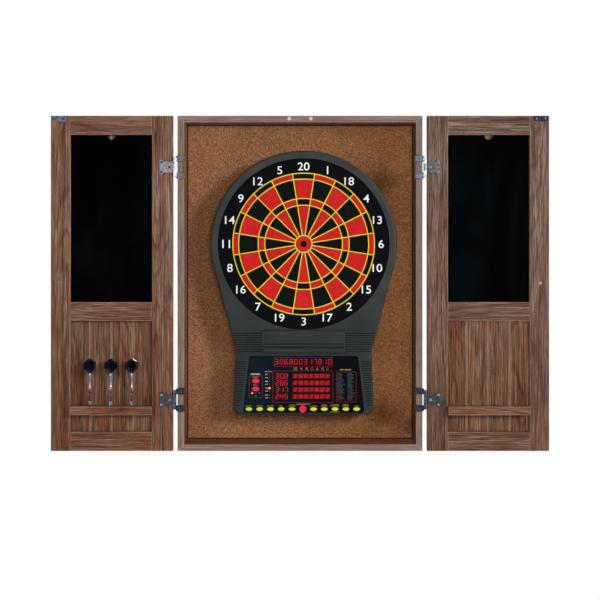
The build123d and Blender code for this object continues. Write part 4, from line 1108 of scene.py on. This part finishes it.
def flight_print():
    """Navy foil with a painted highlight low on each vane and a fine embossed lattice."""
    s = Shader("flight_foil")
    height = s.minus(s.along("Z"), (FLIGHT_TOP - FLIGHT_LENGTH) * MM)
    lattice = s.cells(s.position, 900, randomness=0.0)
    cloud = s.noise(s.position, 60, detail=2)
    base = s.mix(s.span(cloud, 0.3, 0.7), srgb(5, 7, 16), srgb(9, 14, 32))
    # Painted highlight: a paler patch low on each vane
    base = s.mix(s.span(height, 0.020, 0.0, 0.0, 0.3), base, srgb(64, 78, 112))
    return s.set(
        Base_Color=base,
        Roughness=s.span(cloud, 0.3, 0.7, 0.14, 0.24),
        Coat_Weight=0.8,
        Normal=s.bump(lattice, 0.00005, 0.5),
    )


def vane_grid(bm, angle, bow_side):
    """Rows of (one face, other face) vertices down a vane that bows and thins towards its edge."""
    out = Vector((math.cos(angle), math.sin(angle), 0))
    side = Vector((-math.sin(angle), math.cos(angle), 0))
    grid = []
    for reach, drop in VANE_OUTLINE:
        row = []
        for step in range(VANE_STEPS + 1):
            share = step / VANE_STEPS
            bow = VANE_BOW * math.sin(math.pi * share) * bow_side
            half = FOLD_EXTRA_HALF * (1 - share) ** 2 + VANE_HALF
            spot = out * (FOLD_R + (reach - FOLD_R) * share) + side * bow
            spot.z = FLIGHT_TOP - drop
            row.append([bm.verts.new((spot + side * face * half) * MM) for face in (1, -1)])
        grid.append(row)
    return grid


def flight(bm, turn):
    """Two crossed hexagonal vanes that bow slightly and are thicker along the fold."""
    for vane in range(4):
        grid = vane_grid(bm, math.radians(turn + vane * 90), 1 if vane % 2 else -1)
        for upper, lower in zip(grid, grid[1:]):
            for a, b, c, d in zip(upper, upper[1:], lower[1:], lower):
                for face in (0, 1):
                    bm.faces.new((a[face], b[face], c[face], d[face]))
            bm.faces.new((*upper[-1], *reversed(lower[-1])))
        for row in (grid[0], grid[-1]):
            for near, far in zip(row, row[1:]):
                bm.faces.new((*near, *reversed(far)))


def darts():
    """Tip, grooved barrel, shaft and flight of each dart; the barrel replaces the plain CAD dart."""
    bands = barrel_paint()
    foil = flight_print()
    silver = metal("shaft_silver", srgb(186, 184, 202), 0.32, 0.5)
    nylon = plastic("tip_nylon", srgb(226, 226, 220), 0.35)
    for name, turn in DART_TURN.items():
        tip, barrel, shaft, vanes = [bmesh.new() for _ in range(4)]
        lathe(tip, TIP_PROFILE, 20)
        lathe(barrel, barrel_profile())
        lathe(shaft, SHAFT_PROFILE, 28)
        flight(vanes, turn)
        middle = middle_mm(name)
        for part, bm, material in (("tip", tip, nylon), ("barrel", barrel, bands),
                                   ("shaft", shaft, silver), ("flight", vanes, foil)):
            bmesh.ops.translate(bm, verts=bm.verts, vec=(middle.x * MM, middle.y * MM, 0))
            finished(f"{name}_{part}", bm, name, material)
        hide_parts(name)


# ------------------------ stage

KEY_POWER = 292
FRONT_POWER = 84
FILL_POWER = 30
REAR_POWER = 90
SIDE_POWER = 70
GLINT_POWER = 60

CENTRE = (0, 0, 0)
FLOOR_R = 1.3
FLOOR_DROP = 0.8


def area_light(name, spot, target, size, power, colour=(1, 1, 1), mirrored=True, diffuse=True):
    data = bpy.data.lights.new(name, "AREA")
    data.shape = "DISK"
    data.size = size
    data.energy = power
    data.color = colour
    made = bpy.data.objects.new(name, data)
    made.location = spot
    made.rotation_mode = "QUATERNION"
    made.rotation_quaternion = (Vector(target) - Vector(spot)).to_track_quat("-Z", "Y")
    made.visible_glossy = mirrored
    made.visible_diffuse = diffuse
    bpy.context.scene.collection.objects.link(made)
    return made


def let_past(light, *names):
    """Makes a light pass the named nodes, so that the frame and open door leave the cork evenly lit."""
    passed = bpy.data.collections.new(light.name + "_passes")
    for name in names:
        passed.objects.link(NODES[name])
    for member in passed.collection_objects:
        member.light_linking.link_state = "EXCLUDE"
    light.light_linking.blocker_collection = passed


def surround():
    """White to the camera; to everything else a soft studio, darker in front and below."""
    world = bpy.data.worlds.new("studio")
    world.use_nodes = True
    nodes, link = world.node_tree.nodes, world.node_tree.links.new
    direction = nodes.new("ShaderNodeTexCoord").outputs["Generated"]
    parts = nodes.new("ShaderNodeSeparateXYZ")
    link(direction, parts.inputs[0])
    lift = nodes.new("ShaderNodeMapRange")
    lift.inputs["From Min"].default_value = -1.0
    lift.inputs["From Max"].default_value = 1.0
    link(parts.outputs["Z"], lift.inputs["Value"])
    tone = nodes.new("ShaderNodeValToRGB")
    levels = ((0.0, 0.10), (0.45, 0.07), (0.62, 0.16), (1.0, 0.42))
    set_stops(tone, [(place, (level, level, level * 1.03, 1.0)) for place, level in levels])
    link(lift.outputs[0], tone.inputs[0])
    seen = nodes.new("ShaderNodeLightPath")
    blend = nodes.new("ShaderNodeMix")
    blend.data_type = "RGBA"
    blend.inputs[7].default_value = (1.0, 1.0, 1.0, 1.0)
    link(seen.outputs["Is Camera Ray"], blend.inputs[0])
    link(tone.outputs[0], blend.inputs[6])
    link(blend.outputs[2], nodes["Background"].inputs["Color"])
    bpy.context.scene.world = world


def pale_floor():
    bm = bmesh.new()
    bmesh.ops.create_circle(bm, cap_ends=True, segments=96, radius=FLOOR_R)
    floor = object_of("floor", bm)
    floor.location = (0, 0, cad_box[0].z - FLOOR_DROP)
    s = Shader("pale_floor", Roughness=0.9)
    speckle = s.noise(s.position, 40, detail=3)
    floor.data.materials.append(s.set(
        Base_Color=s.mix(speckle, (0.86, 0.86, 0.86, 1.0), (0.92, 0.92, 0.92, 1.0)),
        Emission_Color=(1, 1, 1, 1),
        Emission_Strength=0.4,
    ))


def studio():
    """Pale round floor well below the hung cabinet, a white surround and soft lights."""
    pale_floor()
    surround()
    key = area_light("key", (4.9, -4.2, 1.9), (0, 0, 0.05), 1.7, KEY_POWER, (1.0, 0.985, 0.96))
    let_past(key, "carcass_top", "carcass_right_side", "right_door_stiles", "right_door_rails",
             "right_door_planks", "right_blackboard")
    area_light("front", (0.5, -5.6, 0.8), CENTRE, 2.4, FRONT_POWER, mirrored=False)
    area_light("fill", (-3.6, -4.6, 0.7), CENTRE, 2.4, FILL_POWER, (0.96, 0.98, 1.0))
    area_light("rear", (1.5, 3.2, 2.4), CENTRE, 2.0, REAR_POWER)
    for name, side in (("left_side", -1), ("right_side", 1)):
        area_light(name, (side * 3.4, 1.3, 1.0), CENTRE, 1.8, SIDE_POWER)
    for name, spot in (("left_glint", (-3.4, -0.9, 0.1)), ("right_glint", (3.4, -0.7, 0.5))):
        area_light(name, spot, (0, -0.1, 0), 1.1, GLINT_POWER, diffuse=False)


def camera():
    """Straight from the front, a little above the middle."""
    data = bpy.data.cameras.new("camera")
    data.sensor_width = 36
    data.lens = 81.5
    data.shift_y = -0.12
    data.clip_start, data.clip_end = 0.1, 60
    made = bpy.data.objects.new("camera", data)
    made.location = (0.0, -3.82, 0.151)
    made.rotation_euler = (math.radians(90), 0, 0)
    bpy.context.scene.collection.objects.link(made)
    bpy.context.scene.camera = made


bpy.context.scene.view_settings.view_transform = "Standard"
dress_cad()
ring_numbers()
console_graphics()
door_screws()
darts()
studio()
camera()
